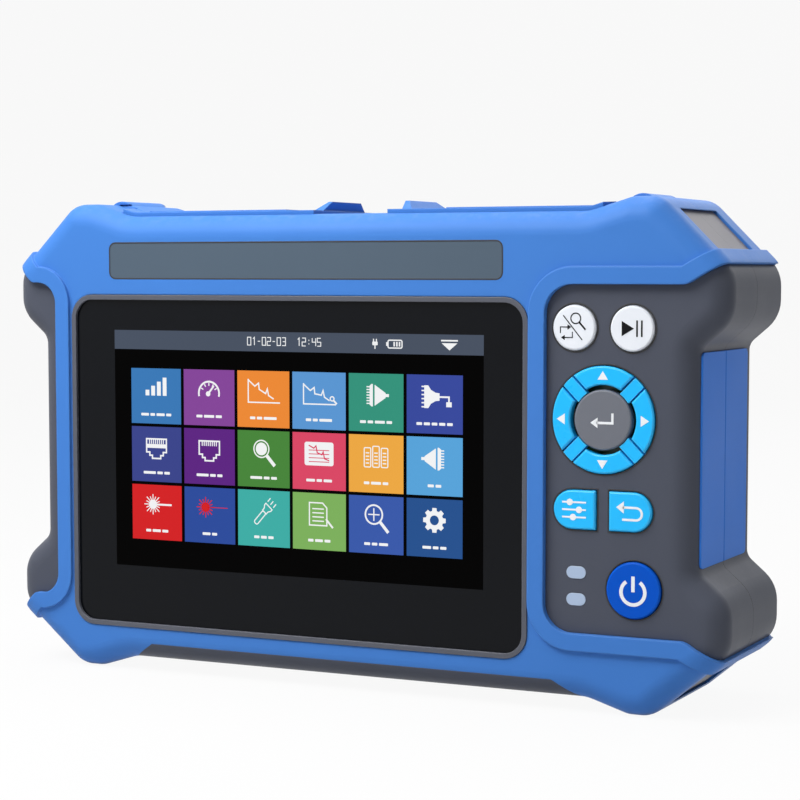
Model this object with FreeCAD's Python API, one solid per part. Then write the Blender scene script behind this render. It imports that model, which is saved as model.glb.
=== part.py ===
import FreeCAD, Part
import math
import os

Vec = FreeCAD.Vector

# Handheld optical time domain reflectometer. Millimetres, X right, Y from front to back, Z up.
# The origin is below the middle of the case, on the surface that it stands on.

# --- body outline, seen from the front ---
bodyHeight = 178.8           # over the corner bumps
bodyHalfWidth = 144.3        # over the side bumps
bodyDepth = 67.4             # between the flat front and back faces
waistInset = 11.4            # waist inside the side bumps
topDip = 4.7                 # top face below the corner bumps
bottomDip = 4.8              # bottom face above the corner bumps
bumpHeadInset = 35.8         # inner end of a corner bump, from the side of the body
bumpSlope = 15.5             # length of the slope up to a corner bump
topChamfer = 25.6            # width of the upper corner chamfers
bottomChamferX = 27.6        # width of the lower corner chamfers
bottomChamferZ = 23.3        # height of the lower corner chamfers
upperBumpHeight = 16.2       # straight side of the upper side bumps
lowerBumpHeight = 17.3       # straight side of the lower side bumps
waistSlope = 9.8             # height of the slopes between bumps and waist
cornerRadius = 10.0          # outer corners, seen from the front
sideRadius = 13.0            # corners of the side bumps
headRadius = 9.5             # where a slope meets a corner bump
footRadius = 16.0            # hollows where a slope meets the top or bottom
waistRadius = 5.0            # hollows where a slope meets the waist
edgeRounding = 8.5           # front edges of the body
backBevel = 4.0              # back edges of the body

# --- shells ---
bumperWall = 2.5             # soft blue bumper
caseWall = 2.5               # hard grey case
panelSink = 1.2              # grey grips and keypad panel behind the blue front face
pocketWall = 1.3             # hard case beside the pocket behind the keypad
innerChamfer = 4.0           # front and back edges of the hard case below the bumper
cavityCorner = 10.0          # corners of the room inside
windowSink = 1.0             # grey corner windows below the bumper
windowHalfDepth = 20.0       # corner windows, front to back
windowEdgeGap = 4.3          # blue left above a corner window
windowReach = 29.3           # inner end of a window, from the side of the body
stripHalfWidth = 82.0        # grey strip along the bottom, at its upper edge
stripHeight = 6.4            # grey strip above the bottom face
stripFlare = 10.0            # slanted ends of the strip
stripCorner = 1.0
gap = 0.3                    # between pieces that move past each other
fit = 0.2                    # between pieces that are pushed together
outsideMargin = 25.0         # cutting blocks reach this far outside the body

# --- raised lip round the grey grips ---
lipWidth = 6.0
lipFront = 1.4               # lip above the front face
lipSide = 1.5                # lip above the chamfers and sides
lipEndInset = 1.2            # lips end this far inside the side of the body
gripBelowTop = 30.0          # upper edge of the grey keypad area
gripBottomZ = 28.1           # its lower edge
gripRise = 7.1               # the boundary climbs this much towards the side bump
gripCorner = 10.0
gripBendInner = 14.0         # start of that climb, from the side of the body
gripBendOuter = 2.3          # end of that climb
gripBendRadius = 6.0
leftGripReach = 20.8         # width of the grey grip beside the screen
leftGripCorner = 8.0
leftBendInner = 10.0         # start of the climb on that side
leftBendRadius = 2.5
rearGripReach = 26.3         # width of both grips on the back

# --- waist pads ---
padHalfDepth = 25.5
padProud = 0.6
padSink = 1.5
padEndGap = 1.5              # grey left between a pad and the slope to a bump
padCorner = 2.0
padSeam = 0.5                # bevels where the front and rear pads meet

# --- screen ---
rimLeftGap = 1.0             # blue between the rim and the lip of the left grip
rimRightGap = 0.4            # blue between the rim and the lip of the keypad
rimBottomZ = 17.25
rimBelowTop = 34.6           # top of the rim
rimCorner = 9.0
rimFace = 1.8                # visible width of the rim
rimProud = 0.5               # rim in front of the blue face
rimLip = 0.8                 # glass behind the blue face
rimBite = 1.2                # glass held behind the rim
glassThickness = 1.8
glassBorderLeft = 16.9       # dark glass beside the display
glassBorderRight = 15.3
glassBorderTop = 11.5
glassBorderBottom = 21.85
moduleBorder = 6.0
moduleThickness = 5.2

# --- label plate ---
labelLeftInset = 17.3        # inside the left edge of the rim
labelRightInset = 9.8        # inside the right edge of the rim
labelGap = 6.2               # above the rim
labelHeight = 13.4
labelThickness = 0.8
labelCorner = 2.5

# --- keypad: drawn for a pocket of this height and width, and scaled with the real one ---
panelHeightDrawn = 115.4
panelWidthDrawn = 41.95
keyProud = 1.2
keyTravel = 1.0
keyGap = 0.35
keyFlange = 1.0              # width and thickness of the flange behind the panel
keyEdge = 0.5                # bevelled front edge of a key
plungerWidth = 4.0
roundKeyRadius = 7.8
searchKey = (7.95, 103.15)   # places from the lower left corner of that pocket
playKey = (28.95, 103.05)
powerKey = (30.05, 13.55)
powerKeyRadius = 9.8
navPlace = (18.55, 71.7)     # middle of the arrow ring
navRadius = 18.5
navInnerRadius = 12.0
enterRadius = 10.4
navBarWidth = 4.4
navSlot = 0.7                # groove between an arrow key and a bar
navBarProud = 0.6
navPlate = 1.0               # frame behind the panel that carries the bars
navMargin = 0.9              # width of that frame
arrowFlangeInset = 0.2       # hidden flange of an arrow key outside its inner edge
arrowFlangeCorner = 1.0      # and clear of its neighbours' flanges
enterFlangeHalf = 8.2
sideKeyPlace = 40.45         # middle of the D-shaped keys above the lower edge of the pocket
sideKeyHeight = 13.5
sideKeyWidth = 15.4
sideKeySpacing = 5.0         # between the two D-shaped keys
lampPlaces = ((8.85, 18.55), (8.85, 9.15))
lampWidth = 7.1
lampHeight = 4.3
lampProud = 0.2
switchHeight = 3.5
switchSize = 6.0
boardThickness = 1.6
stopGap = 0.1                # left between a pressed key and its switch
keyPostHalf = 1.6
keyPostPlaces = ((40.85, 93.25), (16.65, 27.85), (16.65, 4.25))
keyBoardMargin = 2.5         # key board outside the outermost keys and posts
keyBoardSide = 1.0           # and beside its post
hairline = 0.01              # keeps the straight end of a fully rounded side

# --- main board and optics ---
boardBehindDisplay = 6.0
mainPostHalf = 2.5
mainPostLeftInset = 35.3     # from the left side of the body
mainPostRightInset = 74.3    # from the right side of the body
mainPostBottomZ = 38.0
mainPostBelowTray = 18.0
mainBoardMargin = 4.0
chipSizes = ((33.0, 51.0, 28.0, 22.0, 2.5), (69.0, 50.0, 20.0, 16.0, 3.0),
             (139.0, 72.0, 20.0, 24.0, 4.0))
opticsWidth = 108.0
opticsHeight = 28.0
opticsDepth = 16.0

# --- port doors on top ---
hingeInset = 1.5             # hinge inside the head of its bump
hingeDrop = 0.1              # hinge below the top face
doorLength = 92.0            # from the finger tab to the hinge
doorHalfDepth = 26.5
doorProud = 1.4
doorSink = 2.2
doorCornerStart = 7.7        # cut corners beside the knuckle
doorCornerEnd = 9.5
knuckleRadius = 6.2
knuckleHalfLength = 13.0
pinRadius = 1.5
pinClearance = 0.05
pinSeat = 5.0
tabHalfWidth = 17.0
tabHeight = 3.4
tabThickness = 1.7
tabRun = 3.4
tabChamfer = 5.5
tabUndercut = 1.6
plateauInset = 18.0
plateauHeight = 0.7
plateauHalfDepth = 15.0

# --- port trays below the doors ---
trayInset = 5.0              # tray inside the inner end of its door
trayLength = 64.0
traySideInset = 5.5          # tray inside the long edges of its door
trayDepth = 19.6
trayWall = 1.6
trayFloor = 2.0
sealRib = 1.2
sealRibDepth = 1.5
sealRibGap = 0.4

# --- ports ---
opticalPitch = 18.0
adapterFlange = 14.0
adapterFlangeThickness = 2.0
adapterBody = 9.0
adapterHeight = 11.0
ferruleBore = 1.25
lanOffsets = (12.0, 30.0)    # from the inner end of the tray
lanWidth = 16.0
lanDepth = 14.0
lanMouthWidth = 11.8
lanMouthDepth = 8.4
lanHeight = 14.0
lanFloor = 2.0
usbOffset = 44.5
usbWidth = 7.2
usbDepth = 14.4
usbWall = 1.0
usbHeight = 13.0
usbTongue = 1.8
chargeOffset = 55.0
chargeWidth = 9.0
chargeHeight = 11.0
chargeBore = 2.8
chargePin = 1.8
chargePinSink = 1.0

# --- back ---
rearWindowInset = 40.3       # from the sides of the body
rearWindowBottom = 20.0
rearWindowBelowTop = 27.8
rearWindowCorner = 10.0
rearWindowRoot = 1.0         # the opening in the bumper starts this far behind the seam
bossInset = 37.3             # from the sides of the body
bossBelowTop = 18.8
bossBottomZ = 17.0
bossHalf = 4.2
batteryDoorHalfWidth = 42.0
batteryDoorBottom = 30.0
batteryDoorHeight = 74.0
batteryDoorThickness = 1.6
batteryDoorLedge = 2.5
batteryDoorCorner = 3.0
batteryThickness = 18.6
batteryGap = 1.5             # battery inside its bay
bayWall = 1.6
standHalfWidth = 50.0
standFootZ = 28.0            # lower edge of the folded stand
standLength = 88.0
standThickness = 2.6
standBarrel = 2.4
standPivotRadius = 1.2
standPivotReach = 5.0
standEarWidth = 6.0
standEarHalfHeight = 6.0
speakerInset = 66.3          # from the right side of the body
speakerBelowTop = 46.8
speakerWidth = 24.0
speakerDepth = 6.0
slotLength = 16.0
slotWidth = 1.6
slotPitch = 4.0
slotCount = 5

# --- worked out from the sizes above ---
waistHalfWidth = bodyHalfWidth - waistInset
bumpHeadX = bodyHalfWidth - bumpHeadInset
bumpFootX = bumpHeadX - bumpSlope
halfDepth = bodyDepth / 2
frontY = -halfDepth
panelY = frontY + panelSink             # outside of the keypad panel
midTopZ = bodyHeight - topDip
farX = bodyHalfWidth + outsideMargin
coreTopZ = midTopZ - bumperWall
shellWall = bumperWall + caseWall
wallBackY = frontY + caseWall           # behind the keypad panel
cavityFrontY = frontY + shellWall
cavityBackY = -cavityFrontY
cavityHalfWidth = waistHalfWidth - shellWall
cavityTopZ = midTopZ - shellWall
cavityBottomZ = bottomDip + shellWall
panelBackY = halfDepth - bumperWall     # outside of the rear panel
gripTopZ = bodyHeight - gripBelowTop
leftGripX = leftGripReach - bodyHalfWidth
rearGripX = bodyHalfWidth - rearGripReach
padBottomZ = bottomChamferZ + lowerBumpHeight + waistSlope + padEndGap
padTopZ = bodyHeight - topChamfer - upperBumpHeight - waistSlope - padEndGap
keyReach = keyGap + keyFlange
pocketEdge = pocketWall + keyReach      # panel outside the outermost keys
pocketRightX = cavityHalfWidth - innerChamfer
keyScale = (gripTopZ - gripBottomZ - 2 * pocketEdge) / panelHeightDrawn
keypadLeftX = pocketRightX - pocketEdge - panelWidthDrawn * keyScale
rimLeftX = leftGripX + lipWidth + rimLeftGap
rimRightX = keypadLeftX - lipWidth - rimRightGap
rimTopZ = bodyHeight - rimBelowTop
keyFrontY = panelY - keyProud
navBackY = wallBackY + navPlate
plungerY = navBackY + keyFlange
switchTopY = plungerY + keyTravel + stopGap
boardY = switchTopY + switchHeight
hingeX = bumpHeadX - hingeInset
hingeZ = midTopZ - hingeDrop
doorInnerX = hingeX - doorLength
trayInnerX = doorInnerX + trayInset
trayOuterX = trayInnerX + trayLength
trayHalfDepth = doorHalfDepth - traySideInset
trayBottomZ = coreTopZ - trayDepth
trayFloorZ = trayBottomZ + trayFloor


def cornerArc(before, corner, after, radius):
    """Tangent points and middle of the arc that rounds one corner."""
    toBefore = (before - corner).normalize()
    toAfter = (after - corner).normalize()
    half = toBefore.getAngle(toAfter) / 2
    tangent = radius / math.tan(half)
    middleLine = (toBefore + toAfter).normalize()
    start = corner + toBefore * tangent
    end = corner + toAfter * tangent
    middle = corner + middleLine * (radius / math.sin(half) - radius)
    return start, middle, end


def loopWire(corners, y):
    """Closed wire in an XZ plane through (x, z, radius) corners."""
    points = [Vec(x, y, z) for x, z, r in corners]
    turns = []
    for i, (x, z, radius) in enumerate(corners):
        if radius > 0:
            turns.append(cornerArc(points[i - 1], points[i], points[(i + 1) % len(points)], radius))
        else:
            turns.append((points[i], None, points[i]))
    edges = []
    for i, (start, middle, end) in enumerate(turns):
        if middle:
            edges.append(Part.Arc(start, middle, end).toShape())
        following = turns[(i + 1) % len(turns)][0]
        if (following - end).Length > 1e-6:
            edges.append(Part.LineSegment(end, following).toShape())
    return Part.Wire(Part.__sortEdges__(edges))


def prism(corners, yStart, yEnd):
    """Solid between two XZ planes with the given outline."""
    return Part.Face(loopWire(corners, yStart)).extrude(Vec(0, yEnd - yStart, 0))


def wedge(points, along):
    """Solid swept from a flat polygon."""
    return Part.Face(Part.makePolygon(points + points[:1])).extrude(along)


def insetLoop(corners, inset):
    """The same loop moved inwards; corners run clockwise seen from the front."""
    result = []
    for i, (x, z, radius) in enumerate(corners):
        x0, z0 = corners[i - 1][:2]
        x2, z2 = corners[(i + 1) % len(corners)][:2]
        inLength = math.hypot(x - x0, z - z0)
        outLength = math.hypot(x2 - x, z2 - z)
        inX, inZ = (x - x0) / inLength, (z - z0) / inLength
        outX, outZ = (x2 - x) / outLength, (z2 - z) / outLength
        share = inset / (1 + inX * outX + inZ * outZ)
        turnsRight = inX * outZ - inZ * outX < 0
        if radius > 0:
            radius = max(radius - inset if turnsRight else radius + inset, 0.2)
        result.append((x + share * (inZ + outZ), z - share * (inX + outX), radius))
    return result


def flipped(corners):
    """Mirror image of a loop in X, still clockwise."""
    return [(-x, z, r) for x, z, r in reversed(corners)]


def sharpLoop(corners):
    """The same loop without its rounded corners, for hidden surfaces."""
    return [(x, z, 0) for x, z, r in corners]


def rectangle(x0, x1, z0, z1, radius):
    """Clockwise loop of a rectangle with rounded corners."""
    return [(x0, z1, radius), (x1, z1, radius), (x1, z0, radius), (x0, z0, radius)]


def box(x0, x1, y0, y1, z0, z1):
    """Block between the given limits."""
    return Part.makeBox(x1 - x0, y1 - y0, z1 - z0, Vec(x0, y0, z0))


def rodX(y, z, radius, x0, x1):
    """Cylinder along X."""
    return Part.makeCylinder(radius, x1 - x0, Vec(x0, y, z), Vec(1, 0, 0))


def rodY(x, z, radius, y0, y1):
    """Cylinder along Y."""
    return Part.makeCylinder(radius, y1 - y0, Vec(x, y0, z), Vec(0, 1, 0))


def rodZ(x, y, radius, z0, z1):
    """Cylinder along Z."""
    return Part.makeCylinder(radius, z1 - z0, Vec(x, y, z0), Vec(0, 0, 1))


def squarePost(x, z, half, y0, y1):
    """Square post along Y."""
    return box(x - half, x + half, y0, y1, z - half, z + half)


def edgesAt(shape, y):
    """Edges that lie in the XZ plane at y."""
    return [e for e in shape.Edges if all(abs(v.Y - y) < 1e-6 for v in e.Vertexes)
            and abs(e.CenterOfMass.y - y) < 1e-6]


def shellBlock(corners, yStart, yEnd, rounding, bevel):
    """Prism whose front edges are rounded and whose back edges are bevelled."""
    block = prism(corners, yStart, yEnd)
    block = block.makeFillet(rounding, edgesAt(block, yStart))
    return block.makeChamfer(bevel, edgesAt(block, yEnd))


def chamferedBlock(corners, yStart, yEnd, size):
    """Prism whose front and back edges are chamfered."""
    block = prism(corners, yStart, yEnd)
    return block.makeChamfer(size, edgesAt(block, yStart) + edgesAt(block, yEnd))


def join(*shapes):
    """Union of the given shapes."""
    return shapes[0].fuse(list(shapes[1:])) if len(shapes) > 1 else shapes[0]


def mirroredX(shape):
    """Mirror image of a shape in the YZ plane."""
    return shape.mirror(Vec(0, 0, 0), Vec(1, 0, 0))


def halfSpace(back):
    """Block that covers everything in front of or behind the seam."""
    return box(-farX, farX, 0 if back else -bodyDepth, bodyDepth if back else 0, -farX, 2 * farX)


os.makedirs("parts", exist_ok=True)


def save(node, *shapes):
    """Write one node; several shapes stay separate solids."""
    solids = [solid for shape in shapes for solid in shape.Solids]
    whole = solids[0] if len(solids) == 1 else Part.makeCompound(solids)
    whole.exportStep("parts/" + node + ".step")


# --- outlines ---
halfOutline = [
    (bumpFootX, midTopZ, footRadius),
    (bumpHeadX, bodyHeight, headRadius),
    (bodyHalfWidth - topChamfer, bodyHeight, cornerRadius),
    (bodyHalfWidth, bodyHeight - topChamfer, sideRadius),
    (bodyHalfWidth, bodyHeight - topChamfer - upperBumpHeight, sideRadius),
    (waistHalfWidth, bodyHeight - topChamfer - upperBumpHeight - waistSlope, waistRadius),
    (waistHalfWidth, bottomChamferZ + lowerBumpHeight + waistSlope, waistRadius),
    (bodyHalfWidth, bottomChamferZ + lowerBumpHeight, sideRadius),
    (bodyHalfWidth, bottomChamferZ, sideRadius),
    (bodyHalfWidth - bottomChamferX, 0, cornerRadius),
    (bumpHeadX, 0, headRadius),
    (bumpFootX, bottomDip, footRadius),
]
outline = halfOutline + flipped(halfOutline)


def gripLoop(innerX, corner, bendInner, bendRadius):
    """Grey area on the right, from innerX out past the side of the body."""
    return [
        (innerX, gripTopZ, corner),
        (bodyHalfWidth - bendInner, gripTopZ, bendRadius),
        (bodyHalfWidth - gripBendOuter, gripTopZ + gripRise, bendRadius),
        (farX, gripTopZ + gripRise, 0),
        (farX, gripBottomZ - gripRise, 0),
        (bodyHalfWidth - gripBendOuter, gripBottomZ - gripRise, bendRadius),
        (bodyHalfWidth - bendInner, gripBottomZ, bendRadius),
        (innerX, gripBottomZ, corner),
    ]


keypadGrip = gripLoop(keypadLeftX, gripCorner, gripBendInner, gripBendRadius)
leftGrip = gripLoop(-leftGripX, leftGripCorner, leftBendInner, leftBendRadius)
rearGrip = gripLoop(rearGripX, leftGripCorner, leftBendInner, leftBendRadius)
frontGrips = [keypadGrip, flipped(leftGrip)]
backGrips = [rearGrip, flipped(rearGrip)]

# corner windows: the bumper is open there and the hard case shows
windowLoops = []
windowX = bodyHalfWidth - windowReach
for z0, z1 in ((gripTopZ, bodyHeight - windowEdgeGap), (windowEdgeGap, gripBottomZ)):
    windowLoop = [(windowX, z1, 0), (farX, z1, 0), (farX, z0, 0), (windowX, z0, 0)]
    windowLoops += [windowLoop, flipped(windowLoop)]

stripTopZ = bottomDip + stripHeight
stripEndX = stripHalfWidth + stripFlare
stripLoop = [(-stripHalfWidth, stripTopZ, stripCorner), (stripHalfWidth, stripTopZ, stripCorner),
             (stripEndX, bottomDip, 0), (stripEndX, -outsideMargin, 0),
             (-stripEndX, -outsideMargin, 0), (-stripEndX, bottomDip, 0)]

# --- blocks that the shells are cut from ---
bodyBlock = shellBlock(outline, frontY, halfDepth, edgeRounding, backBevel)
gripBlock = shellBlock(outline, panelY, halfDepth, edgeRounding, backBevel)
lipRounding = (lipFront + lipSide) / 2
lipBlock = shellBlock(insetLoop(outline, -lipSide), frontY - lipFront, halfDepth + lipFront,
                      edgeRounding + lipRounding, backBevel + lipRounding)
lipEndX = bodyHalfWidth - lipEndInset
lipBlock = lipBlock.common(box(-lipEndX, lipEndX, -bodyDepth, bodyDepth,
                               -outsideMargin, 2 * bodyHeight))
coreBlock = chamferedBlock(sharpLoop(insetLoop(outline, bumperWall)), frontY + bumperWall,
                           halfDepth - bumperWall, innerChamfer)
cavityCornerX = cavityHalfWidth - cavityCorner
cavitySide = [(cavityCornerX, cavityTopZ, 0), (cavityHalfWidth, cavityTopZ - cavityCorner, 0),
              (cavityHalfWidth, cavityBottomZ + cavityCorner, 0), (cavityCornerX, cavityBottomZ, 0)]
cavityLoop = cavitySide + flipped(cavitySide)
cavityBlock = chamferedBlock(cavityLoop, cavityFrontY, cavityBackY, innerChamfer)
keypadPocket = box(keypadLeftX + pocketWall, pocketRightX, wallBackY, cavityFrontY,
                   gripBottomZ + pocketWall, gripTopZ - pocketWall)


# --- door seats on top: the doors, their knuckles and the room that they turn in ---
def hingeRod(radius, halfLength):
    """Cylinder on the axis of the right door."""
    return rodY(hingeX, hingeZ, radius, -halfLength, halfLength)


def doorCorner(side, clearance):
    """Block that the cut corner of the right door leaves free."""
    startY = side * (knuckleHalfLength + clearance)
    endY = side * (doorHalfDepth + gap)
    startX = hingeX - doorCornerStart + clearance
    endX = hingeX - doorCornerEnd + clearance
    corners = [(hingeX, startY), (startX, startY), (endX, endY), (hingeX, endY)]
    return wedge([Vec(x, y, cavityTopZ) for x, y in corners], Vec(0, 0, bodyHeight))


def doorSeat():
    """Room in the top of the body for the right door."""
    reach = doorHalfDepth + gap
    slab = prism(insetLoop(outline, -lipSide - doorProud), -reach, reach)
    slab = slab.cut(prism(insetLoop(outline, bumperWall), -reach, reach))
    slab = slab.common(box(doorInnerX - gap, hingeX, -reach, reach, cavityTopZ, 2 * bodyHeight))
    slab = slab.cut(join(doorCorner(1, gap), doorCorner(-1, gap)))
    turning = knuckleRadius + gap
    length = knuckleHalfLength + gap
    above = box(hingeX - knuckleRadius, hingeX + turning, -length, length, hingeZ, 2 * bodyHeight)
    return join(slab, hingeRod(turning, length), above)


seat = doorSeat()
doorSeats = join(seat, mirroredX(seat))
trayHole = box(trayInnerX, trayOuterX, -trayHalfDepth, trayHalfDepth,
               trayBottomZ - trayWall, bodyHeight)
trayHoles = join(trayHole, mirroredX(trayHole))
pin = hingeRod(pinRadius, knuckleHalfLength + pinSeat)
pinHoles = join(pin, mirroredX(pin))
housingReach = knuckleRadius + gap + caseWall
housingHalfLength = knuckleHalfLength + pinSeat + caseWall
hingeHousing = box(hingeX - housingReach, hingeX + housingReach, -housingHalfLength, housingHalfLength,
                   hingeZ - housingReach, bodyHeight)
hingeHousings = join(hingeHousing, mirroredX(hingeHousing))

# --- waist pads, one on each side of each half ---
padLoop = [(waistHalfWidth - padSink, padTopZ, 0), (waistHalfWidth + padProud, padTopZ, 0),
           (waistHalfWidth + padProud, padBottomZ, 0), (waistHalfWidth - padSink, padBottomZ, 0)]
padWhole = prism(padLoop, -padHalfDepth, padHalfDepth)
padEndEdges = edgesAt(padWhole, -padHalfDepth) + edgesAt(padWhole, padHalfDepth)
padCornerEdges = [e for e in padEndEdges if abs(e.tangentAt(e.FirstParameter).x) > 0.5]
padWhole = padWhole.makeFillet(padCorner, padCornerEdges)
padsWhole = join(padWhole, mirroredX(padWhole))
padFaceX = waistHalfWidth + padProud
padGroove = wedge([Vec(padFaceX - padSeam, 0, padBottomZ), Vec(padFaceX, -padSeam, padBottomZ),
                   Vec(padFaceX, padSeam, padBottomZ)], Vec(0, 0, padTopZ - padBottomZ))
for half, back in (("front", False), ("rear", True)):
    padHalf = padWhole.common(halfSpace(back)).cut(padGroove)
    save("right_pad_" + half, padHalf)
    save("left_pad_" + half, mirroredX(padHalf))


def gripPrisms(grips, back, inset=0.0):
    """Grey areas on one half, as deep as the half."""
    y0, y1 = (0, bodyDepth) if back else (-bodyDepth, 0)
    return join(*[prism(insetLoop(loop, inset), y0, y1) for loop in grips])


def windowPrisms(grips, back):
    """The corner windows, as far as the raised lips leave them."""
    windows = join(*[prism(loop, -windowHalfDepth, windowHalfDepth) for loop in windowLoops])
    return windows.cut(gripPrisms(grips, back, -lipWidth))


def caseHalf(grips, back):
    """Hard shell of one half, before its openings."""
    half = halfSpace(back)
    windows = prism(insetLoop(outline, windowSink), -windowHalfDepth, windowHalfDepth)
    windows = windows.common(windowPrisms(grips, back))
    strip = bodyBlock.common(prism(stripLoop, -bodyDepth, bodyDepth))
    solid = join(coreBlock, windows, strip).common(half)
    solid = join(solid, gripBlock.common(half).common(gripPrisms(grips, back)))
    hollow = cavityBlock.common(half).cut(hingeHousings)
    return solid.cut(hollow).cut(join(doorSeats, trayHoles, pinHoles, padsWhole)).removeSplitter()


def bumperHalf(grips, back):
    """Soft shell of one half, before its screen opening."""
    half = halfSpace(back)
    strip = prism(stripLoop, -bodyDepth, bodyDepth)
    shell = bodyBlock.common(half).cut(join(windowPrisms(grips, back), strip))
    lips = lipBlock.common(half).common(gripPrisms(grips, back, -lipWidth))
    shell = join(shell, lips).cut(join(gripPrisms(grips, back), coreBlock))
    return shell.cut(join(doorSeats, pinHoles)).removeSplitter()


# --- screen: rim, glass and display module ---
rimLoop = rectangle(rimLeftX, rimRightX, rimBottomZ, rimTopZ, rimCorner)
openingLoop = insetLoop(rimLoop, -fit / 2)
visibleLoop = insetLoop(rimLoop, rimFace)
glassLoop = insetLoop(visibleLoop, -rimBite)
displayLoop = rectangle(rimLeftX + rimFace + glassBorderLeft, rimRightX - rimFace - glassBorderRight,
                        rimBottomZ + rimFace + glassBorderBottom, rimTopZ - rimFace - glassBorderTop, 0)
glassFrontY = frontY + rimLip
glassBackY = glassFrontY + glassThickness
moduleBackY = glassBackY + moduleThickness
moduleLoop = insetLoop(displayLoop, -moduleBorder)

screenRim = prism(rimLoop, frontY - rimProud, glassBackY)
screenRim = screenRim.cut(join(prism(visibleLoop, frontY - rimProud, glassFrontY),
                               prism(glassLoop, glassFrontY, glassBackY)))
save("screen_rim", screenRim)
save("touch_glass", prism(glassLoop, glassFrontY, glassBackY))
save("display_module", prism(moduleLoop, glassBackY, moduleBackY))

labelBottomZ = rimTopZ + labelGap
labelLoop = rectangle(rimLeftX + labelLeftInset, rimRightX - labelRightInset,
                      labelBottomZ, labelBottomZ + labelHeight, labelCorner)
save("label_plate", prism(insetLoop(labelLoop, fit / 2), frontY, frontY + labelThickness))


# --- keypad ---
def onPanel(place):
    """Point of the keypad panel from its place in the drawn pocket."""
    return (keypadLeftX + pocketEdge + place[0] * keyScale,
            gripBottomZ + pocketEdge + place[1] * keyScale)


def bevelled(cap):
    """Key cap with bevelled front edges."""
    return cap.makeChamfer(keyEdge, edgesAt(cap, keyFrontY))


navX, navZ = onPanel(navPlace)
ringRadius = navRadius * keyScale
ringInnerRadius = navInnerRadius * keyScale
enterCapRadius = enterRadius * keyScale
barWidth = navBarWidth * keyScale
roundRadius = roundKeyRadius * keyScale
roundKeys = {"search": onPanel(searchKey) + (roundRadius,), "play": onPanel(playKey) + (roundRadius,),
             "power": onPanel(powerKey) + (powerKeyRadius * keyScale,)}
sideWidth = sideKeyWidth * keyScale
sideHeight = sideKeyHeight * keyScale
sideKeyZ = onPanel((0, sideKeyPlace))[1]
sideKeyOffset = (sideKeySpacing * keyScale + sideWidth) / 2
sideKeys = {"set": (navX - sideKeyOffset, -1), "escape": (navX + sideKeyOffset, 1)}


def sideKeyLoop(x, outwards):
    """D-shaped key; outwards is -1 when its round end is on the left."""
    w, h = sideWidth / 2, sideHeight / 2
    loop = [(-w, h, 0), (w, h, h - hairline), (w, -h, h - hairline), (-w, -h, 0)]
    loop = loop if outwards > 0 else flipped(loop)
    return [(x + dx, sideKeyZ + dz, r) for dx, dz, r in loop]


def key(cap, x, z, width, height):
    """Cap with the flange that holds it behind the panel and the plunger that reaches its switch."""
    flange = box(x - width / 2 - keyReach, x + width / 2 + keyReach, wallBackY, wallBackY + keyFlange,
                 z - height / 2 - keyReach, z + height / 2 + keyReach)
    plunger = squarePost(x, z, plungerWidth / 2, wallBackY + keyFlange, plungerY)
    return join(bevelled(cap), flange, plunger)


def diagonals(width, y0, y1):
    """Two crossed bars through the middle of the arrow ring."""
    reach = 2 * ringRadius
    bar = Part.makeBox(2 * reach, y1 - y0, width, Vec(-reach, y0, -width / 2))
    bars = []
    for angle in (45, 135):
        turned = bar.copy()
        turned.rotate(Vec(0, 0, 0), Vec(0, 1, 0), angle)
        turned.translate(Vec(navX, 0, navZ))
        bars.append(turned)
    return join(*bars)


def navDisc(radius, y0, y1):
    """Disc on the middle of the arrow ring."""
    return rodY(navX, navZ, radius, y0, y1)


for name, (x, z, radius) in roundKeys.items():
    cap = rodY(x, z, radius, keyFrontY, wallBackY)
    save("key_" + name, key(cap, x, z, 2 * radius, 2 * radius))
for name, (x, outwards) in sideKeys.items():
    cap = prism(sideKeyLoop(x, outwards), keyFrontY, wallBackY)
    save("key_" + name, key(cap, x, sideKeyZ, sideWidth, sideHeight))

# the arrow keys pass between the bars; their flanges hook behind the bars and the frame
slot = barWidth + 2 * navSlot
arrowRing = navDisc(ringRadius, keyFrontY, navBackY).cut(navDisc(ringInnerRadius, keyFrontY, navBackY))
arrowCaps = arrowRing.cut(diagonals(slot, keyFrontY, navBackY)).Solids
frameInner = ringRadius + keyGap
frameOuter = frameInner + navMargin
flangeInner = ringInnerRadius + arrowFlangeInset
flangeHalf = flangeInner - arrowFlangeCorner
arrowNames = {(0, 1): "up", (0, -1): "down", (1, 0): "right", (-1, 0): "left"}
for cap in arrowCaps:
    dx = round((cap.CenterOfMass.x - navX) / ringRadius)
    dz = round((cap.CenterOfMass.z - navZ) / ringRadius)
    x0, x1 = sorted((dx * flangeInner, dx * frameOuter)) if dx else (-flangeHalf, flangeHalf)
    z0, z1 = sorted((dz * flangeInner, dz * frameOuter)) if dz else (-flangeHalf, flangeHalf)
    flange = box(navX + x0, navX + x1, navBackY, plungerY, navZ + z0, navZ + z1)
    save("key_" + arrowNames[(dx, dz)], join(bevelled(cap), flange))

enterCap = navDisc(enterCapRadius, keyFrontY, navBackY)
enterFlange = squarePost(navX, navZ, enterFlangeHalf * keyScale, navBackY, plungerY)
save("key_enter", join(bevelled(enterCap), enterFlange))

barFrontY = panelY - navBarProud
navFrame = squarePost(navX, navZ, frameOuter, wallBackY, navBackY)
frameBars = diagonals(barWidth, wallBackY, navBackY).common(navFrame)
shownBars = diagonals(barWidth, barFrontY, wallBackY).common(navDisc(ringRadius, barFrontY, wallBackY))
bars = join(frameBars, shownBars).cut(navDisc(enterCapRadius + keyGap, barFrontY, navBackY))
navFrame = navFrame.cut(squarePost(navX, navZ, frameInner, wallBackY, navBackY))
save("nav_frame", join(navFrame, bars).removeSplitter())


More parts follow.
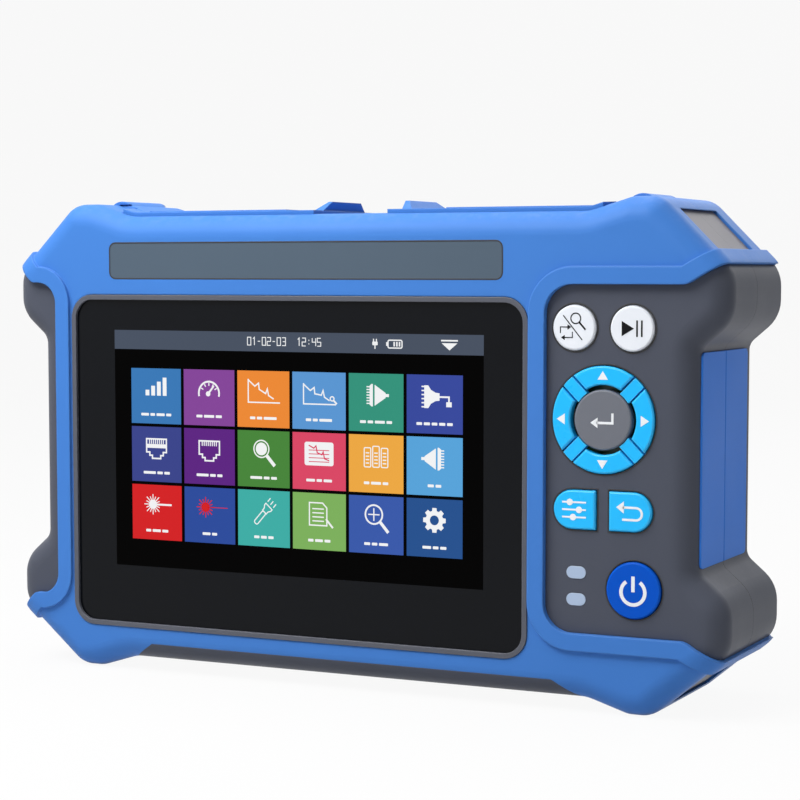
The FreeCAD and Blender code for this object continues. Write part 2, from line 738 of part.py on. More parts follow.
def lampLoop(place):
    """Outline of one lamp with round ends."""
    x, z = onPanel(place)
    w, h = lampWidth / 2, lampHeight / 2
    return rectangle(x - w, x + w, z - h, z + h, h - hairline)


lampLoops = [lampLoop(place) for place in lampPlaces]
save("lamp_pipes", *[prism(loop, panelY - lampProud, wallBackY) for loop in lampLoops])

arrowMiddle = (ringInnerRadius + ringRadius) / 2
switchPlaces = [(navX, navZ)]
switchPlaces += [(x, z) for x, z, radius in roundKeys.values()]
switchPlaces += [(x, sideKeyZ) for x, outwards in sideKeys.values()]
switchPlaces += [(navX + dx * arrowMiddle, navZ + dz * arrowMiddle) for dx, dz in arrowNames]
save("key_switches", *[squarePost(x, z, switchSize / 2, switchTopY, boardY) for x, z in switchPlaces])
keyPosts = [onPanel(place) for place in keyPostPlaces]
searchX, searchZ = onPanel(searchKey)
save("key_board", box(searchX - roundRadius, keyPosts[0][0] + keyBoardSide,
                      boardY, boardY + boardThickness,
                      keyPosts[-1][1] - keyBoardMargin, searchZ + roundRadius + keyBoardMargin))

# --- main board behind the display, with its chips and the optical module ---
mainBoardY = moduleBackY + boardBehindDisplay
mainBackY = mainBoardY + boardThickness
mainPostX = (mainPostLeftInset - bodyHalfWidth, bodyHalfWidth - mainPostRightInset)
mainPostZ = (mainPostBottomZ, trayBottomZ - mainPostBelowTray)
mainBoard = box(mainPostX[0] - mainBoardMargin, mainPostX[1] + mainBoardMargin, mainBoardY, mainBackY,
                mainPostZ[0] - mainBoardMargin, mainPostZ[1] + mainBoardMargin)
chips = [box(mainPostX[0] + x - w / 2, mainPostX[0] + x + w / 2, mainBackY, mainBackY + thickness,
             z - h / 2, z + h / 2) for x, z, w, h, thickness in chipSizes]
save("main_board", join(mainBoard, *chips))
opticsLeft = mainPostX[0] + mainPostHalf
opticsTop = mainPostZ[1]
save("optical_module", box(opticsLeft, opticsLeft + opticsWidth, mainBackY, mainBackY + opticsDepth,
                           opticsTop - opticsHeight, opticsTop))

# --- front case and bumper ---
panelHoles = [prism(openingLoop, frontY, glassBackY),
              prism(insetLoop(moduleLoop, -fit), frontY, cavityFrontY),
              navDisc(frameInner, frontY, wallBackY)]
for x, z, radius in roundKeys.values():
    panelHoles.append(rodY(x, z, radius + keyGap, frontY, wallBackY))
for x, outwards in sideKeys.values():
    panelHoles.append(prism(insetLoop(sideKeyLoop(x, outwards), -keyGap), frontY, wallBackY))
panelHoles += [prism(loop, frontY, wallBackY) for loop in lampLoops]
bossX = bodyHalfWidth - bossInset
bossPlaces = [(x, z) for x in (-bossX, bossX) for z in (bossBottomZ, bodyHeight - bossBelowTop)]
posts = [squarePost(x, z, keyPostHalf, wallBackY, boardY) for x, z in keyPosts]
posts += [squarePost(x, z, mainPostHalf, cavityFrontY, mainBoardY)
          for x in mainPostX for z in mainPostZ]
posts += [squarePost(x, z, bossHalf, cavityFrontY, 0) for x, z in bossPlaces]
frontCase = caseHalf(frontGrips, False).cut(join(keypadPocket, *panelHoles))
save("front_case", join(frontCase, *posts))

frontBumper = bumperHalf(frontGrips, False)
save("front_bumper", frontBumper.cut(join(prism(openingLoop, frontY, cavityFrontY),
                                          prism(labelLoop, frontY, frontY + labelThickness))))

# --- rear case and bumper, battery bay and pivots of the stand ---
standHingeZ = standFootZ + standLength
standAxisY = panelBackY + standBarrel / 2
standReach = standHalfWidth + gap + standEarWidth
batteryDoorLoop = rectangle(-batteryDoorHalfWidth, batteryDoorHalfWidth, batteryDoorBottom,
                            batteryDoorBottom + batteryDoorHeight, batteryDoorCorner)
bayLoop = sharpLoop(insetLoop(batteryDoorLoop, batteryDoorLedge))
batteryBackY = cavityBackY - fit
batteryFrontY = batteryBackY - batteryThickness
bay = prism(insetLoop(bayLoop, -bayWall), batteryFrontY - bayWall, cavityBackY)
bayRoom = prism(bayLoop, batteryFrontY, panelBackY)


def standPivots(radius, inward):
    """Pair of rods on the axis of the stand, from its ears inwards."""
    return [rodX(standAxisY, standHingeZ, radius, -standReach, -standReach + inward),
            rodX(standAxisY, standHingeZ, radius, standReach - inward, standReach)]


standHousing = box(-standReach, standReach, cavityBackY - caseWall, cavityBackY,
                   standHingeZ - standEarHalfHeight, standHingeZ + standEarHalfHeight)
standTroughEnd = standHalfWidth + gap
standTrough = rodX(standAxisY, standHingeZ, standBarrel + gap, -standTroughEnd, standTroughEnd)
speakerX = bodyHalfWidth - speakerInset
speakerZ = bodyHeight - speakerBelowTop
slotPlaces = [speakerZ + (i - (slotCount - 1) / 2) * slotPitch for i in range(slotCount)]
speakerSlots = [box(speakerX - slotLength / 2, speakerX + slotLength / 2, cavityBackY, panelBackY,
                    z - slotWidth / 2, z + slotWidth / 2) for z in slotPlaces]
bosses = [squarePost(x, z, bossHalf, 0, cavityBackY) for x, z in bossPlaces]
standEars = standPivots(standBarrel, standEarWidth)
batteryDoorFrontY = panelBackY - batteryDoorThickness
rearCase = join(caseHalf(backGrips, True), bay, standHousing, *standEars, *bosses)
rearCase = rearCase.cut(join(bayRoom, standTrough, *speakerSlots,
                             prism(batteryDoorLoop, batteryDoorFrontY, panelBackY)))
save("rear_case", join(rearCase, *standPivots(standPivotRadius, standEarWidth + standPivotReach)))

rearWindowX = bodyHalfWidth - rearWindowInset
rearWindowLoop = rectangle(-rearWindowX, rearWindowX, rearWindowBottom, bodyHeight - rearWindowBelowTop,
                           rearWindowCorner)
save("rear_bumper", bumperHalf(backGrips, True).cut(prism(rearWindowLoop, rearWindowRoot, halfDepth)))
save("battery_door", prism(insetLoop(batteryDoorLoop, fit), batteryDoorFrontY, panelBackY))
save("battery_pack", prism(insetLoop(bayLoop, batteryGap), batteryFrontY, batteryBackY))
save("speaker", squarePost(speakerX, speakerZ, speakerWidth / 2,
                           cavityBackY - speakerDepth, cavityBackY))

# --- folding stand ---
standPlate = box(-standHalfWidth, standHalfWidth, panelBackY + gap, panelBackY + gap + standThickness,
                 standHingeZ - standLength, standHingeZ)
stand = join(standPlate, rodX(standAxisY, standHingeZ, standBarrel, -standHalfWidth, standHalfWidth))
save("kickstand", stand.cut(join(*standPivots(standPivotRadius + pinClearance,
                                              standEarWidth + gap + standPivotReach))))


# --- port doors and trays ---
def rightDoor():
    """Door with its knuckle, raised panel, finger tab and sealing rib."""
    slab = prism(insetLoop(outline, -doorProud), -doorHalfDepth, doorHalfDepth)
    slab = slab.cut(prism(insetLoop(outline, doorSink), -doorHalfDepth, doorHalfDepth))
    slab = slab.common(box(doorInnerX, hingeX, -doorHalfDepth, doorHalfDepth,
                           cavityTopZ, 2 * bodyHeight))
    panel = prism(insetLoop(outline, -doorProud - plateauHeight), -plateauHalfDepth, plateauHalfDepth)
    panel = panel.cut(prism(insetLoop(outline, -doorProud), -plateauHalfDepth, plateauHalfDepth))
    panel = panel.common(box(doorInnerX + plateauInset, bumpFootX, -plateauHalfDepth, plateauHalfDepth,
                             cavityTopZ, 2 * bodyHeight))
    faceZ = midTopZ + doorProud
    tabTopZ = faceZ + tabHeight
    tabEndX = doorInnerX + tabThickness + tabRun
    tab = prism([(doorInnerX, tabTopZ, 0), (doorInnerX + tabThickness, tabTopZ, 0),
                 (tabEndX, faceZ, 0), (tabEndX, midTopZ, 0),
                 (doorInnerX + tabUndercut, midTopZ, 0)], -tabHalfWidth, tabHalfWidth)
    ribX0, ribX1 = trayInnerX + trayWall + sealRibGap, trayOuterX - trayWall - sealRibGap
    ribY = trayHalfDepth - trayWall - sealRibGap
    ribTopZ = midTopZ - doorSink
    rib = box(ribX0, ribX1, -ribY, ribY, ribTopZ - sealRibDepth, ribTopZ)
    rib = rib.cut(box(ribX0 + sealRib, ribX1 - sealRib, -ribY + sealRib, ribY - sealRib,
                      ribTopZ - sealRibDepth, ribTopZ))
    door = join(slab, panel, tab, rib, hingeRod(knuckleRadius, knuckleHalfLength))
    cuts = [box(doorInnerX, doorInnerX + tabUndercut, -tabHalfWidth, tabHalfWidth, cavityTopZ, midTopZ),
            hingeRod(pinRadius + pinClearance, knuckleHalfLength + gap)]
    for side in (1, -1):
        tabCorner = [(tabHalfWidth, faceZ), (tabHalfWidth, tabTopZ), (tabHalfWidth - tabChamfer, tabTopZ)]
        cuts.append(wedge([Vec(doorInnerX, side * y, z) for y, z in tabCorner], Vec(bumpFootX, 0, 0)))
        cuts.append(doorCorner(side, 0))
    return door.cut(join(*cuts)).removeSplitter()


door = rightDoor()
tray = box(trayInnerX, trayOuterX, -trayHalfDepth, trayHalfDepth, trayBottomZ, coreTopZ)
tray = tray.cut(box(trayInnerX + trayWall, trayOuterX - trayWall, -trayHalfDepth + trayWall,
                    trayHalfDepth - trayWall, trayFloorZ, coreTopZ))
save("right_door", door)
save("left_door", mirroredX(door))
save("right_door_pin", pin)
save("left_door_pin", mirroredX(pin))
save("signal_tray", tray)
save("optical_tray", mirroredX(tray))


# --- ports, standing on the tray floors ---
def block(x, width, depth, z0, z1):
    """Block centred on the middle line of a tray."""
    return box(x - width / 2, x + width / 2, -depth / 2, depth / 2, z0, z1)


def adapter(x):
    """Fibre adapter: square flange, square body and the bore that takes a ferrule."""
    flange = block(x, adapterFlange, adapterFlange, trayFloorZ, trayFloorZ + adapterFlangeThickness)
    body = block(x, adapterBody, adapterBody, trayFloorZ, trayFloorZ + adapterHeight)
    bore = rodZ(x, 0, ferruleBore, trayFloorZ + adapterFlangeThickness / 2, trayFloorZ + adapterHeight)
    return join(flange, body).cut(bore)


trayMiddleX = (trayInnerX + trayOuterX) / 2
for place, name in enumerate(("otdr_port", "power_meter_port", "fault_locator_port")):
    save(name, adapter(-trayMiddleX + (place - 1) * opticalPitch))
for place, offset in enumerate(lanOffsets):
    x = trayInnerX + offset
    lanBody = block(x, lanWidth, lanDepth, trayFloorZ, trayFloorZ + lanHeight)
    lanMouth = block(x, lanMouthWidth, lanMouthDepth, trayFloorZ + lanFloor, trayFloorZ + lanHeight)
    save("lan_jack_%d" % (place + 1), lanBody.cut(lanMouth))

usbX = trayInnerX + usbOffset
usbFloorZ = trayFloorZ + 2 * usbWall
usbTopZ = trayFloorZ + usbHeight
usbBody = block(usbX, usbWidth, usbDepth, trayFloorZ, usbTopZ)
usbMouth = block(usbX, usbWidth - 2 * usbWall, usbDepth - 2 * usbWall, usbFloorZ, usbTopZ)
usbTonguePiece = block(usbX + usbWall, usbTongue, usbDepth - 4 * usbWall, usbFloorZ, usbTopZ - usbWall)
save("usb_jack", join(usbBody.cut(usbMouth), usbTonguePiece))

chargeX = trayInnerX + chargeOffset
chargeFloorZ = trayFloorZ + trayFloor
chargeBody = block(chargeX, chargeWidth, chargeWidth, trayFloorZ, trayFloorZ + chargeHeight)
chargeBody = chargeBody.cut(rodZ(chargeX, 0, chargeBore, chargeFloorZ, trayFloorZ + chargeHeight))
save("charge_jack", join(chargeBody, block(chargeX, chargePin, chargePin, chargeFloorZ,
                                           trayFloorZ + chargeHeight - chargePinSink)))
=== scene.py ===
import math

import bpy
import bmesh
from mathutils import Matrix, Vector


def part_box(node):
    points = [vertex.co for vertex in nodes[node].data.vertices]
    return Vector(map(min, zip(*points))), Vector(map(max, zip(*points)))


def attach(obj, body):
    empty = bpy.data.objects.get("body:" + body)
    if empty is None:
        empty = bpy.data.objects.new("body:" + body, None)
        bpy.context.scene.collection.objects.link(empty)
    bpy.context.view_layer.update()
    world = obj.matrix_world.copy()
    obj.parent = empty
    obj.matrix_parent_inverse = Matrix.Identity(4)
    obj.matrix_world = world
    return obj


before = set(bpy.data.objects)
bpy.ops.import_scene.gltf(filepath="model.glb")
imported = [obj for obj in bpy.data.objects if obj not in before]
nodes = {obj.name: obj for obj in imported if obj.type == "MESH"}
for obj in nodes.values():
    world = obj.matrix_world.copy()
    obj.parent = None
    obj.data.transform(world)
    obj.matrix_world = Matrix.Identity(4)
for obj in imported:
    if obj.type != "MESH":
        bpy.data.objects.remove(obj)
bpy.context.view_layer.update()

scene = bpy.context.scene
mm = 0.001
noiseRange = (0.3, 0.7)     # where most of a noise's values lie
edgeRange = (0.995, 0.8)    # how alike rounded and flat normals are where wear starts and is full


# small helpers for materials
def feed(tree, node, inputs):
    # a socket is linked, anything else becomes the input's own value
    for label, value in inputs.items():
        if isinstance(value, bpy.types.NodeSocket):
            tree.links.new(value, node.inputs[label])
        else:
            node.inputs[label].default_value = value


def addNode(tree, kind, inputs=None, **settings):
    node = tree.nodes.new("ShaderNode" + kind)
    for name, value in settings.items():
        setattr(node, name, value)
    feed(tree, node, inputs or {})
    return node


def addMath(tree, operation, *values, clamp=False):
    return addNode(tree, "Math", dict(enumerate(values)), operation=operation,
                   use_clamp=clamp).outputs[0]


def remap(tree, value, fromLow, fromHigh, toLow=0, toHigh=1):
    return addNode(tree, "MapRange", {"Value": value, "From Min": fromLow,
        "From Max": fromHigh, "To Min": toLow, "To Max": toHigh}).outputs["Result"]


def objectPoint(tree):
    return addNode(tree, "TexCoord").outputs["Object"]


def splitPoint(tree, point):
    return addNode(tree, "SeparateXYZ", {"Vector": point}).outputs


def addNoise(tree, point, scale, detail, roughness=0.5):
    return addNode(tree, "TexNoise", {"Vector": point, "Scale": scale,
        "Detail": detail, "Roughness": roughness}).outputs["Fac"]


def addBump(tree, strength, distance, **inputs):
    return addNode(tree, "Bump", {"Strength": strength, "Distance": distance,
        **inputs}).outputs["Normal"]


def startGroup(name, takes, gives):
    # node group with named numbers going in, and named masks, values or a normal coming out
    group = bpy.data.node_groups.new(name, "ShaderNodeTree")
    for label, value in takes.items():
        group.interface.new_socket(label, in_out="INPUT",
            socket_type="NodeSocketFloat").default_value = value
    for label in gives:
        group.interface.new_socket(label, in_out="OUTPUT",
            socket_type="NodeSocketVector" if label == "Normal" else "NodeSocketFloat")
    return group, group.nodes.new("NodeGroupInput").outputs, group.nodes.new("NodeGroupOutput")


def useGroup(tree, group, values):
    return addNode(tree, "Group", values, node_tree=group).outputs


def startMaterial(name):
    material = bpy.data.materials.new(name)
    material.use_nodes = True
    return material, material.node_tree, material.node_tree.nodes["Principled BSDF"]


def makeGrainGroup():
    # fine moulded texture and the slow cloudiness of a large plastic face
    group, takes, gives = startGroup("mouldGrain", {"Grain Scale": 2400, "Cloud Scale": 18},
                                     ("Height", "Cloud"))
    point = objectPoint(group)
    fine = addNoise(group, point, takes["Grain Scale"], detail=3, roughness=0.55)
    pits = addNode(group, "TexVoronoi", {"Vector": point,
        "Scale": takes["Grain Scale"]}, feature="SMOOTH_F1").outputs["Distance"]
    feed(group, gives, {"Height": addMath(group, "ADD", fine, pits),
                        "Cloud": addNoise(group, point, takes["Cloud Scale"], detail=5,
                                          roughness=0.6)})
    return group


def makeEdgeGroup():
    # rounded normal for crisp corners, and a mask that follows those corners
    group, takes, gives = startGroup("softEdge", {"Radius": 0.0004}, ("Normal", "Mask"))
    rounded = addNode(group, "Bevel", {"Radius": takes["Radius"]}, samples=6).outputs[0]
    plain = addNode(group, "NewGeometry").outputs["Normal"]
    along = addNode(group, "VectorMath", {0: rounded, 1: plain}, operation="DOT_PRODUCT")
    feed(group, gives, {"Normal": rounded,
                        "Mask": remap(group, along.outputs["Value"], *edgeRange)})
    return group


def makeDustAndSheenGroup():
    # thin pale dust on faces that look up, broken up by noise; it is also a painted sheen of the
    # light from above on those faces
    group, takes, gives = startGroup("restingDustAndSheen", {"Amount": 0.1}, ("Mask",))
    normal = addNode(group, "NewGeometry").outputs["Normal"]
    facing = remap(group, splitPoint(group, normal)["Z"], 0.45, 1)    # from sloped to level
    noise = addNoise(group, objectPoint(group), scale=260, detail=6, roughness=0.7)
    specks = remap(group, noise, 0.45, 0.75)
    both = addMath(group, "MULTIPLY", facing, specks)
    feed(group, gives, {"Mask": addMath(group, "MULTIPLY", both, takes["Amount"])})
    return group


def bandMask(group, value, halfWidth):
    # 1 where the value lies within the half width
    return addMath(group, "LESS_THAN", addMath(group, "ABSOLUTE", value), halfWidth)


def makeSeamShadowGroup():
    # painted shadow line in the plane between the two halves, for the shade in their joint
    group, takes, gives = startGroup("halvesSeamShadow", {"Half Width": 0.0002}, ("Mask",))
    place = splitPoint(group, objectPoint(group))
    feed(group, gives, {"Mask": bandMask(group, place["Y"], takes["Half Width"])})
    return group


def makeWindowSheenGroup():
    # faces that look out through the sloping corner windows, where a paler painted reflection of
    # the light from above goes
    group, takes, gives = startGroup("cornerWindowSheen", {"Half Depth": 0.02, "Low": 0.02, "High": 0.15,
                                                     "Inner": 0.1}, ("Mask",))
    place = splitPoint(group, objectPoint(group))
    middle = bandMask(group, place["Y"], takes["Half Depth"])
    outside = addMath(group, "GREATER_THAN", addMath(group, "ABSOLUTE", place["X"]), takes["Inner"])
    below = addMath(group, "LESS_THAN", place["Z"], takes["Low"])
    above = addMath(group, "GREATER_THAN", place["Z"], takes["High"])
    corner = addMath(group, "MULTIPLY", outside, addMath(group, "ADD", below, above))
    feed(group, gives, {"Mask": addMath(group, "MULTIPLY", corner, middle)})
    return group


def makeBacklightGroup():
    # slow unevenness of the backlight and the fine lines between picture dots
    group, takes, gives = startGroup("backlight", {"Dot Pitch": 0.00022, "Line Depth": 0.05},
                                     ("Light",))
    point = objectPoint(group)
    turns = addMath(group, "DIVIDE", 2 * math.pi, takes["Dot Pitch"])
    spread = addNode(group, "VectorMath", {0: point, "Scale": turns}, operation="SCALE")
    wave = splitPoint(group, spread.outputs["Vector"])
    lines = addMath(group, "ADD", addMath(group, "COSINE", wave["X"]),
                    addMath(group, "COSINE", wave["Z"]))
    even = remap(group, addNoise(group, point, scale=9, detail=1), *noiseRange, 0.93, 1)
    depth = addMath(group, "MULTIPLY", lines, takes["Line Depth"])
    feed(group, gives, {"Light": addMath(group, "SUBTRACT", even, depth)})
    return group


mouldGrain = makeGrainGroup()
halvesSeamShadow = makeSeamShadowGroup()
cornerWindowSheen = makeWindowSheenGroup()
softEdge = makeEdgeGroup()
restingDustAndSheen = makeDustAndSheenGroup()
backlight = makeBacklightGroup()
print("shared effects ready")

mixLook = {"first": 6, "second": 7, "result": 2}    # places of a Mix node's colour sockets
# the dust amount and colour also paint a sheen of the light from above; the seam colour is a
# painted shadow
plasticLook = {"cloudScale": 16, "dustAndSheen": 0.05, "coat": 0, "coatRoughness": 0.2,
               "specular": 0.5, "dustAndSheenColour": (0.62, 0.62, 0.6),
               "seamColour": (0.012, 0.013, 0.016)}
# place of the painted reflection in the corner windows
windowLook = {"Half Depth": 0.025, "Low": 0.0205, "High": 0.1565, "Inner": 0.112}
metalLook = {"detail": 4, "wear": 0.4, "worn": (0.9, 0.9, 0.9), "strength": 0.08,
             "depth": 0.01}


def mixTones(tree, share, first, second):
    first, second = (c + (1,) if isinstance(c, tuple) else c for c in (first, second))
    return addNode(tree, "Mix", {0: share, mixLook["first"]: first,
        mixLook["second"]: second}, data_type="RGBA").outputs[mixLook["result"]]


def plasticFinish(name, look):
    # moulded plastic or rubber: cloudy colour, worn edges, fine grain, a little dust on top that is
    # also a painted sheen of the light from above; wear is an amount and a radius, grain a scale,
    # a strength and a depth, lengths in mm
    look = {**plasticLook, **look}
    material, tree, shader = startMaterial(name)
    wear, radius = look["wear"]
    scale, strength, depth = look["grain"]
    grain = useGroup(tree, mouldGrain, {"Grain Scale": scale, "Cloud Scale": look["cloudScale"]})
    edge = useGroup(tree, softEdge, {"Radius": radius * mm})
    dustAndSheen = useGroup(tree, restingDustAndSheen, {"Amount": look["dustAndSheen"]})
    tone = mixTones(tree, grain["Cloud"], look["colour"], look["deep"])
    tone = mixTones(tree, addMath(tree, "MULTIPLY", edge["Mask"], wear), tone, look["worn"])
    tone = mixTones(tree, dustAndSheen["Mask"], tone, look["dustAndSheenColour"])
    if "seam" in look:        # shadow line where the front and rear halves meet
        line = useGroup(tree, halvesSeamShadow, {"Half Width": look["seam"] * mm})
        tone = mixTones(tree, line["Mask"], tone, look["seamColour"])
    if "window" in look:      # painted reflection: the corner windows are painted paler for the light from above that they reflect
        paintedWindowSheen = useGroup(tree, cornerWindowSheen, windowLook)
        tone = mixTones(tree, paintedWindowSheen["Mask"], tone, look["window"])
    feed(tree, shader, {"Base Color": tone, "Coat Weight": look["coat"],
        "Roughness": remap(tree, grain["Cloud"], *noiseRange, *look["rough"]),
        "Normal": addBump(tree, strength, depth * mm, Height=grain["Height"],
                          Normal=edge["Normal"]),
        "Coat Roughness": look["coatRoughness"], "Specular IOR Level": look["specular"]})
    return material


def metalFinish(name, look):
    # brushed or plated metal
    look = {**metalLook, **look}
    material, tree, shader = startMaterial(name)
    edge = useGroup(tree, softEdge, {"Radius": look["radius"] * mm})
    brushed = addNode(tree, "Mapping", {"Vector": objectPoint(tree), "Scale": look["brush"]})
    lines = addNoise(tree, brushed.outputs["Vector"], 1, look["detail"])
    tone = mixTones(tree, lines, look["colour"], look["deep"])
    worn = addMath(tree, "MULTIPLY", edge["Mask"], look["wear"])
    feed(tree, shader, {"Base Color": mixTones(tree, worn, tone, look["worn"]),
        "Roughness": remap(tree, lines, *noiseRange, *look["rough"]), "Metallic": 1,
        "Normal": addBump(tree, look["strength"], look["depth"] * mm, Height=lines,
                          Normal=edge["Normal"])})
    return material


glassLook = {"radius": 0.3, "cloudScale": 22, "paler": 1.15, "smears": (0.35, 0.7),
             "rough": (0.05, 0.11)}


def glassFinish(name, look):
    # dark printed glass with faint smears
    look = {**glassLook, **look}
    material, tree, shader = startMaterial(name)
    edge = useGroup(tree, softEdge, {"Radius": look["radius"] * mm})
    grain = useGroup(tree, mouldGrain, {"Grain Scale": 60, "Cloud Scale": look["cloudScale"]})
    paler = tuple(look["paler"] * c for c in look["colour"])
    feed(tree, shader, {"Base Color": mixTones(tree, grain["Cloud"], look["colour"], paler),
        "Roughness": remap(tree, grain["Cloud"], *look["smears"], *look["rough"]),
        "Normal": edge["Normal"], "Specular IOR Level": look["specular"]})
    return material


# finishes of this instrument
# the blue shell's larger dust amount paints its faces that look up lighter, a painted sheen of the
# light from above
blueShell = plasticFinish("blueShell", {
    "colour": (0.056, 0.2, 0.582), "deep": (0.05, 0.186, 0.55),
    "worn": (0.15, 0.34, 0.8), "wear": (0.3, 0.8), "rough": (0.44, 0.52),
    "grain": (2600, 0.16, 0.04), "dustAndSheen": 0.09, "specular": 0.14})
# the grey case gets a painted shadow line at the halves' joint and paler painted reflections in the
# corner windows
greyCase = plasticFinish("greyCase", {
    "colour": (0.078, 0.086, 0.114), "deep": (0.066, 0.073, 0.097),
    "worn": (0.15, 0.155, 0.18), "wear": (0.3, 0.6), "rough": (0.4, 0.5),
    "grain": (2000, 0.28, 0.05), "dustAndSheen": 0.04, "specular": 0.1, "coat": 0.05,
    "coatRoughness": 0.26, "seam": 0.15, "window": (0.205, 0.2, 0.222)})
padRubber = plasticFinish("padRubber", {
    "colour": (0.042, 0.22, 0.8), "deep": (0.038, 0.205, 0.76),
    "worn": (0.12, 0.32, 0.78), "wear": (0.3, 0.5), "rough": (0.42, 0.5),
    "grain": (1800, 0.3, 0.05), "specular": 0.1})
rimPlastic = plasticFinish("rimPlastic", {
    "colour": (0.086, 0.092, 0.116), "deep": (0.076, 0.082, 0.104),
    "worn": (0.22, 0.225, 0.26), "wear": (0.6, 0.4), "rough": (0.3, 0.38),
    "grain": (3000, 0.1, 0.03), "specular": 0.4})
labelPlastic = plasticFinish("labelPlastic", {
    "colour": (0.072, 0.104, 0.142), "deep": (0.064, 0.094, 0.131),
    "worn": (0.2, 0.25, 0.3), "wear": (0.7, 0.3), "rough": (0.42, 0.5),
    "grain": (5200, 0.2, 0.03), "specular": 0.25})
keyLightBlue = plasticFinish("keyLightBlue", {
    "colour": (0.012, 0.5, 0.985), "deep": (0.008, 0.47, 0.955),
    "worn": (0.22, 0.74, 1), "wear": (0.6, 0.6), "rough": (0.24, 0.32),
    "grain": (3000, 0.08, 0.03), "coat": 0.05, "dustAndSheen": 0, "specular": 0.3})
keyWhite = plasticFinish("keyWhite", {
    "colour": (0.8, 0.83, 0.88), "deep": (0.76, 0.79, 0.85),
    "worn": (0.93, 0.95, 0.98), "wear": (0.5, 0.5), "rough": (0.28, 0.36),
    "grain": (3000, 0.08, 0.03), "coat": 0.05, "dustAndSheen": 0, "specular": 0.3})
keyGrey = plasticFinish("keyGrey", {
    "colour": (0.15, 0.16, 0.19), "deep": (0.136, 0.146, 0.174),
    "worn": (0.34, 0.35, 0.38), "wear": (0.6, 0.5), "rough": (0.32, 0.4),
    "grain": (3000, 0.12, 0.03), "dustAndSheen": 0, "specular": 0.35})
keyRoyalBlue = plasticFinish("keyRoyalBlue", {
    "colour": (0.001, 0.088, 0.56), "deep": (0.001, 0.078, 0.52),
    "worn": (0.02, 0.24, 0.85), "wear": (0.6, 0.6), "rough": (0.26, 0.34),
    "grain": (3000, 0.08, 0.03), "coat": 0.03, "dustAndSheen": 0, "specular": 0.07})
lampLens = plasticFinish("lampLens", {
    "colour": (0.4, 0.5, 0.68), "deep": (0.36, 0.47, 0.64),
    "worn": (0.65, 0.73, 0.85), "wear": (0.5, 0.3), "rough": (0.16, 0.24),
    "grain": (4000, 0.05, 0.02), "coat": 0.2, "coatRoughness": 0.08, "dustAndSheen": 0})
trayPlastic = plasticFinish("trayPlastic", {
    "colour": (0.022, 0.023, 0.026), "deep": (0.017, 0.018, 0.02),
    "worn": (0.08, 0.08, 0.09), "wear": (0.4, 0.3), "rough": (0.5, 0.6),
    "grain": (2400, 0.3, 0.04)})
batteryWrap = plasticFinish("batteryWrap", {
    "colour": (0.03, 0.1, 0.24), "deep": (0.025, 0.085, 0.21),
    "worn": (0.1, 0.2, 0.38), "wear": (0.4, 0.6), "rough": (0.2, 0.3),
    "grain": (900, 0.2, 0.05), "coat": 0.4})
boardLacquer = plasticFinish("boardLacquer", {
    "colour": (0.01, 0.12, 0.05), "deep": (0.008, 0.085, 0.036),
    "worn": (0.25, 0.22, 0.1), "wear": (0.5, 0.3), "rough": (0.25, 0.4),
    "grain": (700, 0.15, 0.04), "coat": 0.3, "cloudScale": 140})
# dark plastic of the liners, also the colour of the painted shadow lines round the keys and the
# label
linerAndShadowPlastic = plasticFinish("linerAndShadowPlastic", {
    "colour": (0.016, 0.016, 0.018), "deep": (0.012, 0.012, 0.014),
    "worn": (0.06, 0.06, 0.07), "wear": (0.4, 0.2), "rough": (0.4, 0.5),
    "grain": (2800, 0.2, 0.03)})
sleeveCeramic = plasticFinish("sleeveCeramic", {
    "colour": (0.78, 0.76, 0.71), "deep": (0.72, 0.7, 0.65),
    "worn": (0.9, 0.89, 0.86), "wear": (0.4, 0.1), "rough": (0.2, 0.3),
    "grain": (3000, 0.05, 0.01), "dustAndSheen": 0})
printWhite = plasticFinish("printWhite", {
    "colour": (0.84, 0.86, 0.88), "deep": (0.8, 0.82, 0.85),
    "worn": (0.95, 0.95, 0.95), "wear": (0.2, 0.05), "rough": (0.3, 0.38),
    "grain": (3000, 0.05, 0.01), "dustAndSheen": 0})
printBlack = plasticFinish("printBlack", {
    "colour": (0.006, 0.006, 0.008), "deep": (0.005, 0.005, 0.006),
    "worn": (0.02, 0.02, 0.03), "wear": (0.2, 0.05), "rough": (0.3, 0.38),
    "grain": (3000, 0.05, 0.01), "dustAndSheen": 0, "specular": 0.1})
steel = metalFinish("steel", {"colour": (0.62, 0.62, 0.64), "deep": (0.5, 0.5, 0.52),
    "rough": (0.24, 0.36), "brush": (900, 40, 900), "radius": 0.2})
nickel = metalFinish("nickel", {"colour": (0.46, 0.44, 0.4), "deep": (0.4, 0.38, 0.345),
    "rough": (0.34, 0.42), "brush": (2500, 2500, 300), "radius": 0.05})
jackSteel = metalFinish("jackSteel", {"colour": (0.42, 0.42, 0.44), "deep": (0.36, 0.36, 0.38),
    "rough": (0.4, 0.5), "brush": (2500, 2500, 200), "radius": 0.08})
castAluminium = metalFinish("castAluminium", {"colour": (0.58, 0.59, 0.6),
    "deep": (0.46, 0.47, 0.48), "rough": (0.35, 0.5), "brush": (600, 600, 600), "radius": 0.3})
goldPlate = metalFinish("goldPlate", {"colour": (0.83, 0.6, 0.22), "deep": (0.72, 0.5, 0.17),
    "rough": (0.18, 0.28), "brush": (300, 300, 60), "radius": 0.05})
screwSteel = metalFinish("screwSteel", {"colour": (0.055, 0.056, 0.062),
    "deep": (0.035, 0.036, 0.04), "rough": (0.35, 0.45), "brush": (500, 500, 500), "radius": 0.2})
screenGlass = glassFinish("screenGlass", {"colour": (0.003, 0.0036, 0.0052), "specular": 0.12})
screenField = glassFinish("screenField", {"colour": (0.0006, 0.0005, 0.0005), "specular": 0.02})
print("finishes ready")

